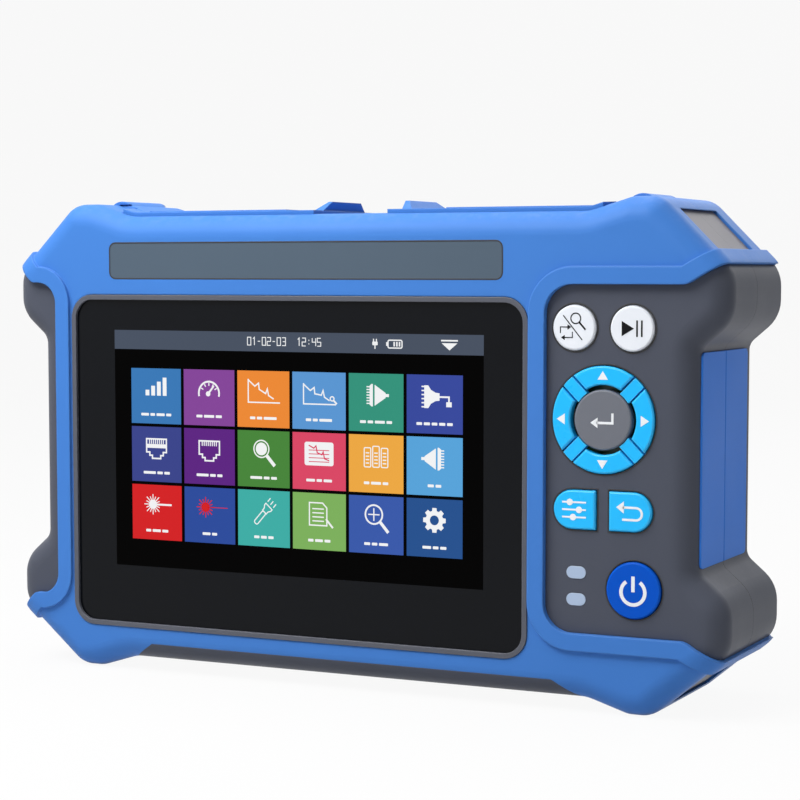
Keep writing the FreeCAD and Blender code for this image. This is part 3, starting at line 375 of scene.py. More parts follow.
nodeFinishes = (
    (blueShell, "front_bumper rear_bumper right_door left_door"),
    (greyCase, "front_case rear_case battery_door kickstand"),
    (padRubber, "right_pad_front right_pad_rear left_pad_front left_pad_rear"),
    (rimPlastic, "screen_rim"), (screenGlass, "touch_glass"), (screenField, "display_module"),
    (labelPlastic, "label_plate"), (keyWhite, "key_search key_play"), (keyGrey, "key_enter"),
    (keyLightBlue, "nav_frame key_up key_down key_left key_right key_set key_escape"),
    (keyRoyalBlue, "key_power"), (lampLens, "lamp_pipes"),
    (boardLacquer, "key_board main_board"), (castAluminium, "optical_module"),
    (steel, "right_door_pin left_door_pin"), (batteryWrap, "battery_pack"),
    (trayPlastic, "signal_tray optical_tray charge_jack speaker"),
    (nickel, "otdr_port power_meter_port fault_locator_port"),
    (jackSteel, "key_switches lan_jack_1 lan_jack_2 usb_jack"))
for finish, names in nodeFinishes:
    for nodeName in names.split():
        mesh = nodes[nodeName].data
        mesh.materials.clear()
        mesh.materials.append(finish)
print("nodes finished")


# raised prints: outlines in (x, z) millimetres, standing a little off the face they sit on
def startPrint(faceY, centre=(0, 0), rise=0.06):
    return {"build": bmesh.new(), "face": faceY, "rise": rise * mm, "centre": centre, "size": 1,
            "ink": 0}


def rowOf(sheet, points, y):
    scale = sheet["size"] * mm
    x0, z0 = sheet["centre"]
    return [sheet["build"].verts.new((x0 + x * scale, y, z0 + z * scale)) for x, z in points]


def addFace(sheet, corners):
    sheet["build"].faces.new(corners).material_index = sheet["ink"]


def plateFaces(sheet, lift):
    # a print stands off its face, and reaches half as far behind it
    return sheet["face"] - sheet["rise"] * lift, sheet["face"] + sheet["rise"] * 0.5


def fill(sheet, points, lift=1):
    # closed plate from one outline
    front, back = (rowOf(sheet, points, y) for y in plateFaces(sheet, lift))
    addFace(sheet, front)
    addFace(sheet, back[::-1])
    for i in range(len(points)):
        addFace(sheet, (front[i - 1], back[i - 1], back[i], front[i]))


def sideOf(points, distance, closed):
    # the same path moved sideways, with mitred corners
    count = len(points)
    leastSpread = 0.35    # keeps the mitre of a sharp corner short
    side = []
    for i in range(count):
        here = Vector(points[i])
        ways = []
        if closed or i > 0:
            ways.append((here - Vector(points[i - 1])).normalized())
        if closed or i < count - 1:
            ways.append((Vector(points[(i + 1) % count]) - here).normalized())
        across = sum((Vector((-way.y, way.x)) for way in ways), Vector((0, 0))).normalized()
        spread = max(across.dot(Vector((-ways[0].y, ways[0].x))), leastSpread)
        side.append(tuple(here + across * distance / spread))
    return side


def stroke(sheet, points, width, closed=False, lift=1):
    # closed plate that follows a path
    frontA, frontB, backA, backB = (rowOf(sheet, sideOf(points, distance, closed), y)
                                    for y in plateFaces(sheet, lift)
                                    for distance in (width / 2, -width / 2))
    count = len(points)
    for i in range(count if closed else count - 1):
        j = (i + 1) % count
        addFace(sheet, (frontA[i], frontA[j], frontB[j], frontB[i]))
        addFace(sheet, (backA[j], backA[i], backB[i], backB[j]))
        addFace(sheet, (frontA[j], frontA[i], backA[i], backA[j]))
        addFace(sheet, (frontB[i], frontB[j], backB[j], backB[i]))
    if not closed:
        for i in (0, count - 1):
            addFace(sheet, (frontA[i], frontB[i], backB[i], backA[i]))


def arc(radius, centre=(0, 0), start=0, end=360, count=32):
    closed = abs(end - start) >= 360
    steps = count if closed else count - 1
    turns = [math.radians(start + (end - start) * i / steps) for i in range(count)]
    return [(centre[0] + radius * math.cos(a), centre[1] + radius * math.sin(a)) for a in turns]


def oblong(x0, z0, x1, z1, radius=0):
    if radius == 0:
        return [(x0, z0), (x1, z0), (x1, z1), (x0, z1)]
    points = []
    for cx, cz, start in ((x1 - radius, z0 + radius, -90), (x1 - radius, z1 - radius, 0),
                          (x0 + radius, z1 - radius, 90), (x0 + radius, z0 + radius, 180)):
        points += arc(radius, (cx, cz), start, start + 90, 6)
    return points


def turned(points, angle, centre=(0, 0)):
    c, s = math.cos(math.radians(angle)), math.sin(math.radians(angle))
    return [(centre[0] + x * c - z * s, centre[1] + x * s + z * c) for x, z in points]


def addObject(name, data):
    thing = bpy.data.objects.new(name, data)
    scene.collection.objects.link(thing)
    return thing


def addMesh(name, build, finishes):
    mesh = bpy.data.meshes.new(name)
    build.to_mesh(mesh)
    build.free()
    for finish in finishes:
        mesh.materials.append(finish)
    return addObject(name, mesh)


def finishPiece(build, name, finishes, body="case"):
    bmesh.ops.recalc_face_normals(build, faces=build.faces[:])
    piece = addMesh(name, build, finishes)
    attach(piece, body)


def middleOf(node):
    # middle of a node's box, and its two corners
    low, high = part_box(node)
    return (low + high) / 2, low, high


# the lit display
def linear(code):
    # light value of a colour written as six hex digits
    parts = [int(code[i:i + 2], 16) / 255 for i in (0, 2, 4)]
    return tuple(c / 12.92 if c <= 0.04045 else ((c + 0.055) / 1.055) ** 2.4 for c in parts)


lightLook = {"Dot Pitch": 0.00022, "Line Depth": 0.02, "glow": 0.92, "unlit": 0.06,
             "rough": 0.25, "specular": 0.15}


def litFinish(name, colour, look=lightLook):
    # one colour of the display
    material, tree, shader = startMaterial(name)
    light = useGroup(tree, backlight, {"Dot Pitch": look["Dot Pitch"],
        "Line Depth": look["Line Depth"]})["Light"]
    unlit = tuple(look["unlit"] * c for c in colour)
    feed(tree, shader, {"Emission Color": mixTones(tree, light, (0, 0, 0), colour),
        "Base Color": mixTones(tree, light, (0, 0, 0), unlit), "Emission Strength": look["glow"],
        "Roughness": look["rough"], "Specular IOR Level": look["specular"]})
    return material


displayLook = {
    "edge": 6,    # the module's metal edge around the picture, hidden behind the glass
    "fieldRise": 0.02, "tileRise": 0.05, "signRise": 0.08,
    "bar": 7.2, "barColour": "454F60", "redColour": "D8161A", "whiteColour": (0.93, 0.94, 0.95),
    "clock": "01-02-03  12:45", "clockLeft": 18.5, "clockBottom": 4.9, "clockSize": 0.72,
    "signDrop": 3.7, "cell": (34.6, 0.82), "plug": (42.6, 0.82), "mark": (13.2, 0.9),
    "columns": 6, "tile": (21.95, 20.93), "gap": (1.3, 1.18), "first": (7.39, 14.36),
    "signUp": 1.6, "signSize": 0.88,
    "colours": "3578B8 85429A F08A30 5998D6 2F947C 33469E 36418C 5C1A82 458636 "
               "DF4565 F2AB40 56A5DD D8161A 25499E 3BB0A8 7EB35C 3558AC 1D4F8F",
    "captions": ((3.4, 2, 3.6, 2.2), (2.6, 4.4, 2.6), (2.2, 2.2, 5.4), (2.2, 2, 5.2),
                 (2.4, 2.2, 4, 2.2), (2.2, 2.4, 2.2, 2.4, 2.2), (5.4, 2.4, 2.4),
                 (5.2, 2.4, 2.2), (5, 2.4, 2.4), (3.6, 2.2, 3.4), (2.2, 4, 2.2), (2.4, 2.2),
                 (2.2, 3.6, 2.6), (3.4, 2.2), (2.2, 2.4, 2.2), (2.2, 3.2, 2.4), (2.4, 2.2, 3.6),
                 (3.4, 2.2, 2.4))}
white, tileInk, redInk = 0, 1, 2


def drawCaption(sheet, widths):
    # plain bars where a caption stands
    bottom, top, step, corner = -7.5, -6.5, 0.7, 0.25
    x = -(sum(widths) + step * (len(widths) - 1)) / 2
    for width in widths:
        fill(sheet, oblong(x, bottom, x + width, top, corner))
        x += width + step


def drawRisingBars(sheet):
    for i, height in enumerate((2.4, 4.2, 6, 7.8)):
        fill(sheet, oblong(-5.3 + 2.9 * i, -1.6, -3.4 + 2.9 * i, -1.6 + height))


def drawDial(sheet):
    stroke(sheet, arc(5, (0, 0), -15, 195, 24), 0.8)
    stroke(sheet, [(-0.4, -0.2), (2.4, 3.2)], 0.8)
    fill(sheet, arc(1.1, (-0.4, -0.2), count=16))
    for angle in (30, 60, 90, 120, 150):
        stroke(sheet, turned([(3.2, 0), (4.4, 0)], angle), 0.5)


def drawTrace(sheet, shift=0):
    stroke(sheet, [(-7.2, 6.6 + shift), (-7.2, -3.2), (8, -3.2)], 0.55)
    stroke(sheet, [(-7.2, 6.2 + shift), (-4, 3.6 + shift), (-2.2, 4.9 + shift),
                   (-1.9, 2.3 + shift), (1.2, 0.6), (2, 2.6), (2.6, -0.2), (5, -1.6)], 0.55)


def drawCloseTrace(sheet):
    drawTrace(sheet, -1.2)
    stroke(sheet, arc(0.9, (6.2, -0.8), count=14), 0.5, True)
    stroke(sheet, [(6.9, -1.5), (8.4, -2.9)], 0.7)


def drawFanOut(sheet, way=1):
    # comb of fibres that run together into one
    fill(sheet, [(x * way, z) for x, z in (
        (-2.9, 5.1), (-2, 5.8), (-1.4, 5.8), (-1.4, -3.4), (-2, -3.4), (-2.9, -2.7))])
    fill(sheet, [(x * way, z) for x, z in (
        (-0.6, 5.5), (4.4, 2.2), (4.4, 1.8), (5.9, 1.8), (5.9, 0.6), (4.4, 0.6), (4.4, 0.2),
        (-0.6, -3.1))])
    for i in range(7):
        z = -2.2 + 6.8 * i / 6
        stroke(sheet, [(-4.3 * way, z), (-2.9 * way, z)], 0.5)


def drawFanIn(sheet):
    drawFanOut(sheet, -1)


def drawBranch(sheet):
    fill(sheet, [(-4.6, 5.8), (-2.8, 5.8), (-1.6, 4), (0.4, 2.9), (2.2, 2.7), (2.2, -0.3),
                 (0.4, -0.5), (-1.6, -1.6), (-2.8, -3.4), (-4.6, -3.4)])
    for i in range(6):
        z = -2.9 + 8.2 * i / 5
        stroke(sheet, [(-5.8, z), (-4.6, z)], 0.55)
    stroke(sheet, [(2.2, 1.2), (6.4, 1.2), (6.4, -0.8)], 0.7)
    fill(sheet, oblong(5.2, -2.8, 7.6, -0.8))


def drawSocket(sheet):
    stroke(sheet, [(-5, 4.8), (5, 4.8), (5, -0.9), (3.4, -0.9), (3.4, -2.3), (2.1, -2.3),
                   (2.1, -3.6), (-2.1, -3.6), (-2.1, -2.3), (-3.4, -2.3), (-3.4, -0.9),
                   (-5, -0.9)], 0.65, True)
    for i in range(8):
        stroke(sheet, [(i - 3.5, 4.6), (i - 3.5, 2.7)], 0.45)


def drawFilledSocket(sheet):
    drawSocket(sheet)
    fill(sheet, oblong(-4.7, 0.9, 4.7, 2.6))


def drawLens(sheet):
    stroke(sheet, arc(3.6, (-1, 2.4), count=28), 0.55, True)
    fill(sheet, arc(2.7, (-1, 2.4), count=24))
    stroke(sheet, [(1.5, -0.3), (5.4, -4.6)], 1.5)


def drawCard(sheet):
    fill(sheet, oblong(-6.8, -3.6, 6.8, 6.2, 1))
    sheet["ink"] = tileInk
    for z in (-2, -0.4, 1.2, 2.8):
        stroke(sheet, [(-4.8, z), (4.8, z)], 0.35, lift=1.5)
    stroke(sheet, [(-4.8, 4.8), (-2.4, 3.6), (-1.4, 4.6), (-0.8, 1.8), (1.4, 1), (2, 2.2),
                   (2.6, -0.6), (4.8, -1.4)], 0.5, lift=2)
    sheet["ink"] = white


def drawRacks(sheet):
    for x, top in ((-3.9, 4.7), (0, 5.4), (3.9, 4.7)):
        stroke(sheet, oblong(x - 1.5, -3.2, x + 1.5, top, 0.5), 0.45, True)
        for z in (-1.6, -0.2, 1.2, 2.6):
            stroke(sheet, [(x - 0.8, z), (x + 0.8, z)], 0.5)


def drawBurst(sheet, reach=7.4, thick=0.8):
    fill(sheet, arc(2, (-2, 1.6), count=20))
    for i in range(16):
        far = 4.4 if i % 2 == 0 else 3.6
        stroke(sheet, turned([(1.6, 0), (far, 0)], 360 * i / 16, (-2, 1.6)), 0.42)
    stroke(sheet, [(-1, 1.6), (reach, 1.6)], thick)


def drawRedBurst(sheet):
    sheet["ink"] = redInk
    drawBurst(sheet, 8.8, 0.3)
    sheet["ink"] = white


def drawTorch(sheet):
    aim, middle = 48, (0.6, 1.2)
    stroke(sheet, turned(oblong(-7, -1, -0.4, 1, 0.8), aim, middle), 0.45, True)
    stroke(sheet, turned([(-0.4, -1.2), (0.8, -1.2), (2, -2), (2.9, -2), (2.9, 2),
                          (2, 2), (0.8, 1.2), (-0.4, 1.2)], aim, middle), 0.45, True)
    for z in (-1.8, 0, 1.8):
        stroke(sheet, turned([(4, z), (6, z)], aim, middle), 0.45)


def drawSheet(sheet):
    stroke(sheet, [(-4.6, 6), (1.6, 6), (3.6, 4), (3.6, -3.4), (-4.6, -3.4)], 0.55, True)
    for z in (-1.6, 0.1, 1.8, 3.5):
        stroke(sheet, [(-3.2, z), (2.2, z)], 0.5)
    stroke(sheet, [(3.2, -0.6), (6.4, -4.2)], 0.8)


def drawCrossLens(sheet):
    stroke(sheet, arc(3.9, (-1, 2.4), count=28), 0.7, True)
    stroke(sheet, [(-3.6, 2.4), (1.6, 2.4)], 0.5)
    stroke(sheet, [(-1, -0.2), (-1, 5)], 0.5, lift=1.4)
    stroke(sheet, [(1.8, -0.5), (5.6, -4.8)], 1.3)


def drawGear(sheet):
    outline = []
    for i in range(8):
        for step, radius in ((-16, 3.9), (-10, 5.1), (10, 5.1), (16, 3.9)):
            outline += turned([(radius, 0)], 45 * i + step, (0, 1.4))
    fill(sheet, outline)
    sheet["ink"] = tileInk
    fill(sheet, arc(2, (0, 1.4), count=24), lift=1.5)
    sheet["ink"] = white


tileSigns = (drawRisingBars, drawDial, drawTrace, drawCloseTrace, drawFanOut, drawBranch,
             drawFilledSocket, drawSocket, drawLens, drawCard, drawRacks, drawFanIn,
             drawBurst, drawRedBurst, drawTorch, drawSheet, drawCrossLens, drawGear)

digitStrokes = {
    "0": [[(0, 0), (2, 0), (2, 4), (0, 4), (0, 0)]], "1": [[(0.4, 3.2), (1.2, 4), (1.2, 0)]],
    "2": [[(0, 4), (2, 4), (2, 2), (0, 2), (0, 0), (2, 0)]],
    "3": [[(0, 4), (2, 4), (2, 0), (0, 0)], [(0.4, 2), (2, 2)]],
    "4": [[(0, 4), (0, 2), (2, 2)], [(2, 4), (2, 0)]],
    "5": [[(2, 4), (0, 4), (0, 2), (2, 2), (2, 0), (0, 0)]],
    "-": [[(0.3, 2), (1.7, 2)]], ":": [[(1, 0.8), (1, 1.4)], [(1, 2.6), (1, 3.2)]], " ": []}


def drawDigits(sheet, text, left, bottom, scale):
    step, thick = 2.9, 0.42
    for i, letter in enumerate(text):
        for path in digitStrokes[letter]:
            points = [(left + (x + step * i) * scale, bottom + z * scale) for x, z in path]
            closed = points[0] == points[-1]
            stroke(sheet, points[:-1] if closed else points, thick * scale, closed)


def drawCell(sheet):
    stroke(sheet, oblong(-3.4, -1.7, 3.4, 1.7, 0.7), 0.55, True)
    fill(sheet, oblong(-4.3, -0.8, -3.6, 0.8))
    for x in (-0.4, 0.9, 2.2):
        fill(sheet, oblong(x - 0.35, -1, x + 0.35, 1))


def drawPlug(sheet):
    fill(sheet, oblong(-1.3, -0.6, 1.3, 1, 0.3))
    for x, near, far in ((-0.7, 0.9, 2.2), (0.7, 0.9, 2.2), (0, -0.5, -2.2)):
        stroke(sheet, [(x, near), (x, far)], 0.5)


def drawDropMark(sheet):
    fill(sheet, oblong(-3.6, 1.4, 3.6, 2))
    fill(sheet, [(-3.4, 0.7), (3.4, 0.7), (0, -2.1)])


def makeDisplay(look):
    middle, low, high = middleOf("display_module")
    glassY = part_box("touch_glass")[0].y
    left, right = low.x / mm + look["edge"], high.x / mm - look["edge"]
    bottom, top = low.z / mm + look["edge"], high.z / mm - look["edge"]
    whiteLight = litFinish("whiteLight", look["whiteColour"])
    redLight = litFinish("redLight", linear(look["redColour"]))

    field = startPrint(glassY, rise=look["fieldRise"])
    fill(field, oblong(left, bottom, right, top))
    finishPiece(field["build"], "display_field", [screenField])
    bar = startPrint(glassY, rise=look["tileRise"])
    fill(bar, oblong(left, top - look["bar"], right, top))
    finishPiece(bar["build"], "status_bar",
                [litFinish("barLight", linear(look["barColour"]))])

    signs = startPrint(glassY, rise=look["signRise"])
    drawDigits(signs, look["clock"], middle.x / mm - look["clockLeft"], top - look["clockBottom"],
               look["clockSize"])
    for name, drawSign in (("cell", drawCell), ("plug", drawPlug), ("mark", drawDropMark)):
        inset, size = look[name]
        signs.update(centre=((right - inset) * mm, (top - look["signDrop"]) * mm), size=size)
        drawSign(signs)
    finishPiece(signs["build"], "status_signs", [whiteLight])

    width, height = look["tile"]
    for i, drawSign in enumerate(tileSigns):
        row, column = divmod(i, look["columns"])
        x = left + look["first"][0] + column * (width + look["gap"][0]) + width / 2
        z = top - look["first"][1] - row * (height + look["gap"][1]) - height / 2
        tile = startPrint(glassY, (x * mm, z * mm), rise=look["tileRise"])
        tile["ink"] = tileInk
        fill(tile, oblong(-width / 2, -height / 2, width / 2, height / 2))
        tile["ink"] = white
        tile["rise"] = look["signRise"] * mm
        drawCaption(tile, look["captions"][i])
        tile.update(centre=(x * mm, (z + look["signUp"]) * mm), size=look["signSize"])
        drawSign(tile)
        tileLight = litFinish("tileLight%02d" % (i + 1), linear(look["colours"].split()[i]))
        finishPiece(tile["build"], "display_tile_%02d" % (i + 1),
                    [whiteLight, tileLight, redLight])


makeDisplay(displayLook)
print("display drawn")


# signs printed on the keys
def drawSearch(sheet):
    # magnifier over a stroke over two bent arrows
    stroke(sheet, arc(1.8, (0.6, 3.2), count=24), 0.42, True)
    stroke(sheet, [(1.9, 1.9), (4.2, -0.7)], 0.6)
    stroke(sheet, [(-4, 4.2), (3, -4.2)], 0.36)
    stroke(sheet, [(-5, -1.9), (-5, 0.2), (-2.2, 0.2)], 0.36)
    fill(sheet, [(-2.4, 1.1), (-1, 0.2), (-2.4, -0.7)])
    stroke(sheet, [(-0.6, -1.4), (-0.6, -3.4), (-3.6, -3.4)], 0.36)
    fill(sheet, [(-3.4, -4.3), (-4.8, -3.4), (-3.4, -2.5)])


def drawPlay(sheet):
    fill(sheet, [(-3.7, 2.6), (0.7, 0), (-3.7, -2.6)])
    fill(sheet, oblong(1.5, -2.8, 2.1, 2.8))
    fill(sheet, oblong(3.2, -2.8, 3.8, 2.8))


def drawReturn(sheet):
    stroke(sheet, [(3.6, 2.4), (3.6, -1), (-2.2, -1)], 0.85)
    fill(sheet, [(-1.8, 0.8), (-4.4, -1), (-1.8, -2.8)])


def drawSliders(sheet):
    for z, x in ((2.6, -1.6), (0, 1.8), (-2.6, -0.4)):
        stroke(sheet, [(-4.4, z), (4.4, z)], 0.6)
        fill(sheet, arc(1.15, (x, z), count=18), lift=1.5)


def drawBack(sheet):
    bend = arc(2.1, (2.2, -0.5), 80, -90, 12)
    stroke(sheet, [(-2.6, 1.6), (2.2, 1.6)] + bend + [(-2.8, -2.6)], 0.8)
    fill(sheet, [(-2.2, 3.7), (-5, 1.6), (-2.2, -0.5)])


def drawPower(sheet):
    stroke(sheet, arc(4.3, (0, -0.5), 125, 415, 40), 1.25)
    stroke(sheet, [(0, -0.4), (0, 5)], 1.25)


keyPrints = {"search": (drawSearch, printBlack), "play": (drawPlay, printBlack),
             "enter": (drawReturn, printWhite), "set": (drawSliders, printWhite),
             "escape": (drawBack, printWhite), "power": (drawPower, printWhite)}
for name, (drawKey, ink) in keyPrints.items():
    middle, low, high = middleOf("key_" + name)
    sheet = startPrint(low.y, (middle.x, middle.z))
    drawKey(sheet)
    finishPiece(sheet["build"], "print_" + name, [ink], name + "_key")

arrowLook = {"tip": 16.8, "foot": 13.8, "half": 1.9}    # from the middle of the enter key
middle = middleOf("key_enter")[0]
for name, angle in (("up", 90), ("left", 180), ("down", 270), ("right", 0)):
    sheet = startPrint(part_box("key_" + name)[0].y, (middle.x, middle.z))
    fill(sheet, turned([(arrowLook["tip"], 0), (arrowLook["foot"], arrowLook["half"]),
                        (arrowLook["foot"], -arrowLook["half"])], angle))
    finishPiece(sheet["build"], "print_" + name, [printWhite], name + "_key")
print("key signs printed")


# small fittings of the ports, the speaker and the back
def addBox(build, low, high):
    corners = [build.verts.new((x, y, z)) for x in (low[0], high[0]) for y in (low[1], high[1])
               for z in (low[2], high[2])]
    for face in ("0132", "4675", "0451", "2376", "0264", "1573"):
        build.faces.new([corners[int(i)] for i in face])


def joinRings(build, rings, smoothed=0, capped=False):
    # walls from ring to ring, the first few smooth, then a cap at each end or walls back to
    # the first ring
    for index, (lower, upper) in enumerate(zip(rings, rings[1:] + ([] if capped else rings[:1]))):
        for i in range(len(lower)):
            wall = build.faces.new((lower[i - 1], lower[i], upper[i], upper[i - 1]))
            wall.smooth = index < smoothed
    if capped:
        build.faces.new(rings[0])
        build.faces.new(rings[-1])


def turnRings(build, profile, count, place):
    # a ring for each radius and height; place makes a point from those and an angle
    return [[build.verts.new(place(radius, height, 2 * math.pi * i / count)) for i in range(count)]
            for radius, height in profile]


def aboutAxis(x, y, z, upright):
    # points about an upright axis or one that runs to the back; radius and height are in mm
    def place(radius, height, angle):
        across, along = radius * mm * math.cos(angle), radius * mm * math.sin(angle)
        if upright:
            return x + across, y + along, z + height * mm
        return x + across, y + height * mm, z + along
    return place


def addStrip(build, x, points, width, thick):
    # flat spring wire along a path in (y, z)
    left, right = sideOf(points, thick / 2, False), sideOf(points, -thick / 2, False)
    a, b, c, d = ([build.verts.new((x + side, y, z)) for y, z in line]
                  for side in (-width / 2, width / 2) for line in (left, right))
    for i in range(len(points) - 1):
        for first, second in ((a, b), (b, d), (d, c), (c, a)):
            build.faces.new((first[i], first[i + 1], second[i + 1], second[i]))
    for i in (0, -1):
        build.faces.new((a[i], b[i], d[i], c[i]))


def addLiner(build, low, high, wall):
    # open box, closed at its foot, that lines a mouth
    rings = [[build.verts.new((x, y, z)) for x, y in (
        (low[0] + inset, low[1] + inset), (high[0] - inset, low[1] + inset),
        (high[0] - inset, high[1] - inset), (low[0] + inset, high[1] - inset))]
        for inset, z in ((0, low[2]), (0, high[2]), (wall, high[2]), (wall, low[2] + wall))]
    joinRings(build, rings, capped=True)


# sizes of the painted shadow lines round the keys and the label
shadowLineLook = {"proud": 1.2, "width": 0.5, "keyMargin": 1, "frameMargin": 0.9, "labelMargin": -0.125,
            "labelCorner": 2.5, "circleSteps": 72, "halfSteps": 21}


def makeShadowLines(look):
    # painted shadow: a dark line in the panel round each key, and round the label, where their gaps
    # lie in shade
    sheet = startPrint(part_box("key_search")[0].y + look["proud"] * mm)
    for node in ("key_search", "key_play", "key_power", "nav_frame", "key_set", "key_escape"):
        middle, low, high = middleOf(node)
        sheet["centre"] = (middle.x, middle.z)
        margin = look["frameMargin" if node == "nav_frame" else "keyMargin"] - look["width"] / 2
        outX, outZ = (high.x - low.x) / mm / 2 - margin, (high.z - low.z) / mm / 2 - margin
        path = arc(outX, count=look["circleSteps"])
        if node in ("key_set", "key_escape"):    # D-shaped, round on the outer side
            way = -1 if node == "key_set" else 1
            bend = arc(outZ, (outX - outZ, 0), 90, -90, look["halfSteps"])
            path = [(way * x, z) for x, z in bend + [(-outX, -outZ), (-outX, outZ)]]
        stroke(sheet, path, look["width"], True)
    finishPiece(sheet["build"], "key_shadow_lines", [linerAndShadowPlastic])
    middle, low, high = middleOf("label_plate")
    sheet = startPrint(low.y, (middle.x, middle.z))
    outX, outZ = ((end - start) / mm / 2 - look["labelMargin"]
                  for start, end in ((low.x, high.x), (low.z, high.z)))
    stroke(sheet, oblong(-outX, -outZ, outX, outZ, look["labelCorner"]), look["width"], True)
    finishPiece(sheet["build"], "label_seam", [linerAndShadowPlastic])


makeShadowLines(shadowLineLook)

# sizes in mm; bend, crest and tip are places along a wire: from the wall, and up or down
lanLook = {"mouth": (11.8, 8.4), "clear": 0.02, "floor": 2, "proud": 0.2, "wall": 0.5, "pins": 8,
           "pitch": 1.02, "wire": 0.42, "thick": 0.22, "start": 0.2, "crest": (0.6, 1.4),
           "bend": (1.1, 2.2), "tip": (3.4, 3.4)}


def makeLanInside(node, look):
    # plastic liner and eight spring wires of one network jack
    middle, low, high = middleOf(node)
    halfX, halfY = (side * mm / 2 - look["clear"] * mm for side in look["mouth"])
    foot, wall = low.z + look["floor"] * mm, look["wall"] * mm
    build = bmesh.new()
    addLiner(build, (middle.x - halfX, middle.y - halfY, foot),
             (middle.x + halfX, middle.y + halfY, high.z + look["proud"] * mm), wall)
    finishPiece(build, node + "_liner", [linerAndShadowPlastic])

    build = bmesh.new()
    near = middle.y - halfY + wall
    start = near + look["start"] * mm
    crest, bend, tip = ([part * mm for part in look[name]] for name in ("crest", "bend", "tip"))
    path = [(start, foot + wall), (start, high.z - bend[1]), (near + crest[0], high.z - crest[1]),
            (near + bend[0], high.z - bend[1]), (near + tip[0], foot + tip[1])]
    for i in range(look["pins"]):
        x = middle.x + (i - (look["pins"] - 1) / 2) * look["pitch"] * mm
        addStrip(build, x, path, look["wire"] * mm, look["thick"] * mm)
    finishPiece(build, node + "_contacts", [goldPlate])


for node in ("lan_jack_1", "lan_jack_2"):
    makeLanInside(node, lanLook)

serialLook = {"tongue": 2.8, "pins": (-4, -1.4, 1.4, 4), "half": 0.55, "sunk": 0.1,
              "proud": 0.15, "foot": 8.5, "top": 1.4}    # foot and top: below the jack's mouth


def makeSerialContacts(look):
    middle, low, high = middleOf("usb_jack")
    faceX = low.x + look["tongue"] * mm
    build = bmesh.new()
    for y in look["pins"]:
        addBox(build, (faceX - look["sunk"] * mm, middle.y + (y - look["half"]) * mm,
                       high.z - look["foot"] * mm),
               (faceX + look["proud"] * mm, middle.y + (y + look["half"]) * mm,
                high.z - look["top"] * mm))
    finishPiece(build, "serial_contacts", [goldPlate])


makeSerialContacts(serialLook)

collarLook = {"outer": 4.1, "inner": 2.4, "height": 2.3, "threads": 5, "depth": 0.22, "edge": 0.2,
              "sunk": -0.1, "steps": 40, "sleeve": 2.05, "sleeveHeight": 1.5, "bore": 1.26,
              "sleeveSteps": 32, "flange": 2, "land": 0.02, "screwPlace": 5.65, "screwSteps": 18,
              "screwRadius": 0.95,    # the head's outline: share of the radius, and height
              "screwHead": ((1, -0.2), (1, 0.25), (0.8, 0.5), (0.45, 0.55), (0.45, 0.1))}


def makeCollar(node, look):
    # threaded collar, ceramic sleeve and flange screws of one fibre port
    middle, low, high = middleOf(node)
    place = aboutAxis(middle.x, middle.y, high.z, True)
    sunk, edge, outer, inner = (look[name] for name in ("sunk", "edge", "outer", "inner"))
    profile = [(inner, sunk), (outer, sunk)]
    step = look["height"] / look["threads"]
    for i in range(look["threads"]):
        profile += [(outer, i * step + look["land"]), (outer - look["depth"], (i + 0.5) * step)]
    profile += [(outer - edge, look["height"]), (inner + edge, look["height"]),
                (inner, look["height"] - edge), (inner, 0)]
    build = bmesh.new()
    rings = turnRings(build, profile, look["steps"], place)
    joinRings(build, rings)
    head = [(share * look["screwRadius"], height) for share, height in look["screwHead"]]
    for side in (look["screwPlace"] * mm, -look["screwPlace"] * mm):
        rings = turnRings(build, head, look["screwSteps"], aboutAxis(
            middle.x + side, middle.y + side, low.z + look["flange"] * mm, True))
        joinRings(build, rings, len(head), True)
    finishPiece(build, node + "_collar", [nickel])

    build = bmesh.new()
    rings = turnRings(build, [(look["sleeve"], sunk), (look["sleeve"], look["sleeveHeight"] - edge),
        (look["sleeve"] - edge, look["sleeveHeight"]), (look["bore"], look["sleeveHeight"]),
        (look["bore"], sunk)], look["sleeveSteps"], place)
    joinRings(build, rings)
    finishPiece(build, node + "_sleeve", [sleeveCeramic])


for node in ("otdr_port", "power_meter_port", "fault_locator_port"):
    makeCollar(node, collarLook)

screwLook = {"x": 107, "low": 17, "high": 160, "radius": 3.1, "height": 0.55, "socket": 1.6,
             "depth": 0.5, "sunk": -0.1, "recess": 3.9, "ringHeight": 0.06, "gap": 0.05,
             "slope": 0.1, "steps": 36, "dome": ((1, 0.35), (0.86, 0.8), (0.62, 1))}


def makeCaseScrew(name, x, z, look):
    # button head with a six-sided socket in a dark ring on the back
    place = aboutAxis(x * mm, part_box("rear_bumper")[1].y, z * mm, False)

    def hexPlace(radius, height, angle):
        part = angle % (math.pi / 3) - math.pi / 6
        return place(radius / math.cos(part), height, angle)

    r, h, sunk, steps = look["radius"], look["height"], look["sunk"], look["steps"]
    head = [(r, sunk)] + [(share * r, part * h) for share, part in look["dome"]]
    socket = [(look["socket"], h), (look["socket"], h - look["depth"])]
    build = bmesh.new()
    rings = turnRings(build, head, steps, place) + turnRings(build, socket, steps, hexPlace)
    joinRings(build, rings, len(head) - 1, True)
    finishPiece(build, name, [screwSteel])

    near, far, top = r + look["gap"], look["recess"], look["ringHeight"]
    build = bmesh.new()
    rings = turnRings(build, [(near, sunk), (near, top), (far - look["slope"], top), (far, sunk)],
                      steps, place)
    joinRings(build, rings)
    finishPiece(build, name + "_ring", [linerAndShadowPlastic])


for number, (side, row) in enumerate(((-1, "high"), (1, "high"), (-1, "low"), (1, "low"))):
    makeCaseScrew("case_screw_%d" % (number + 1), side * screwLook["x"], screwLook[row], screwLook)

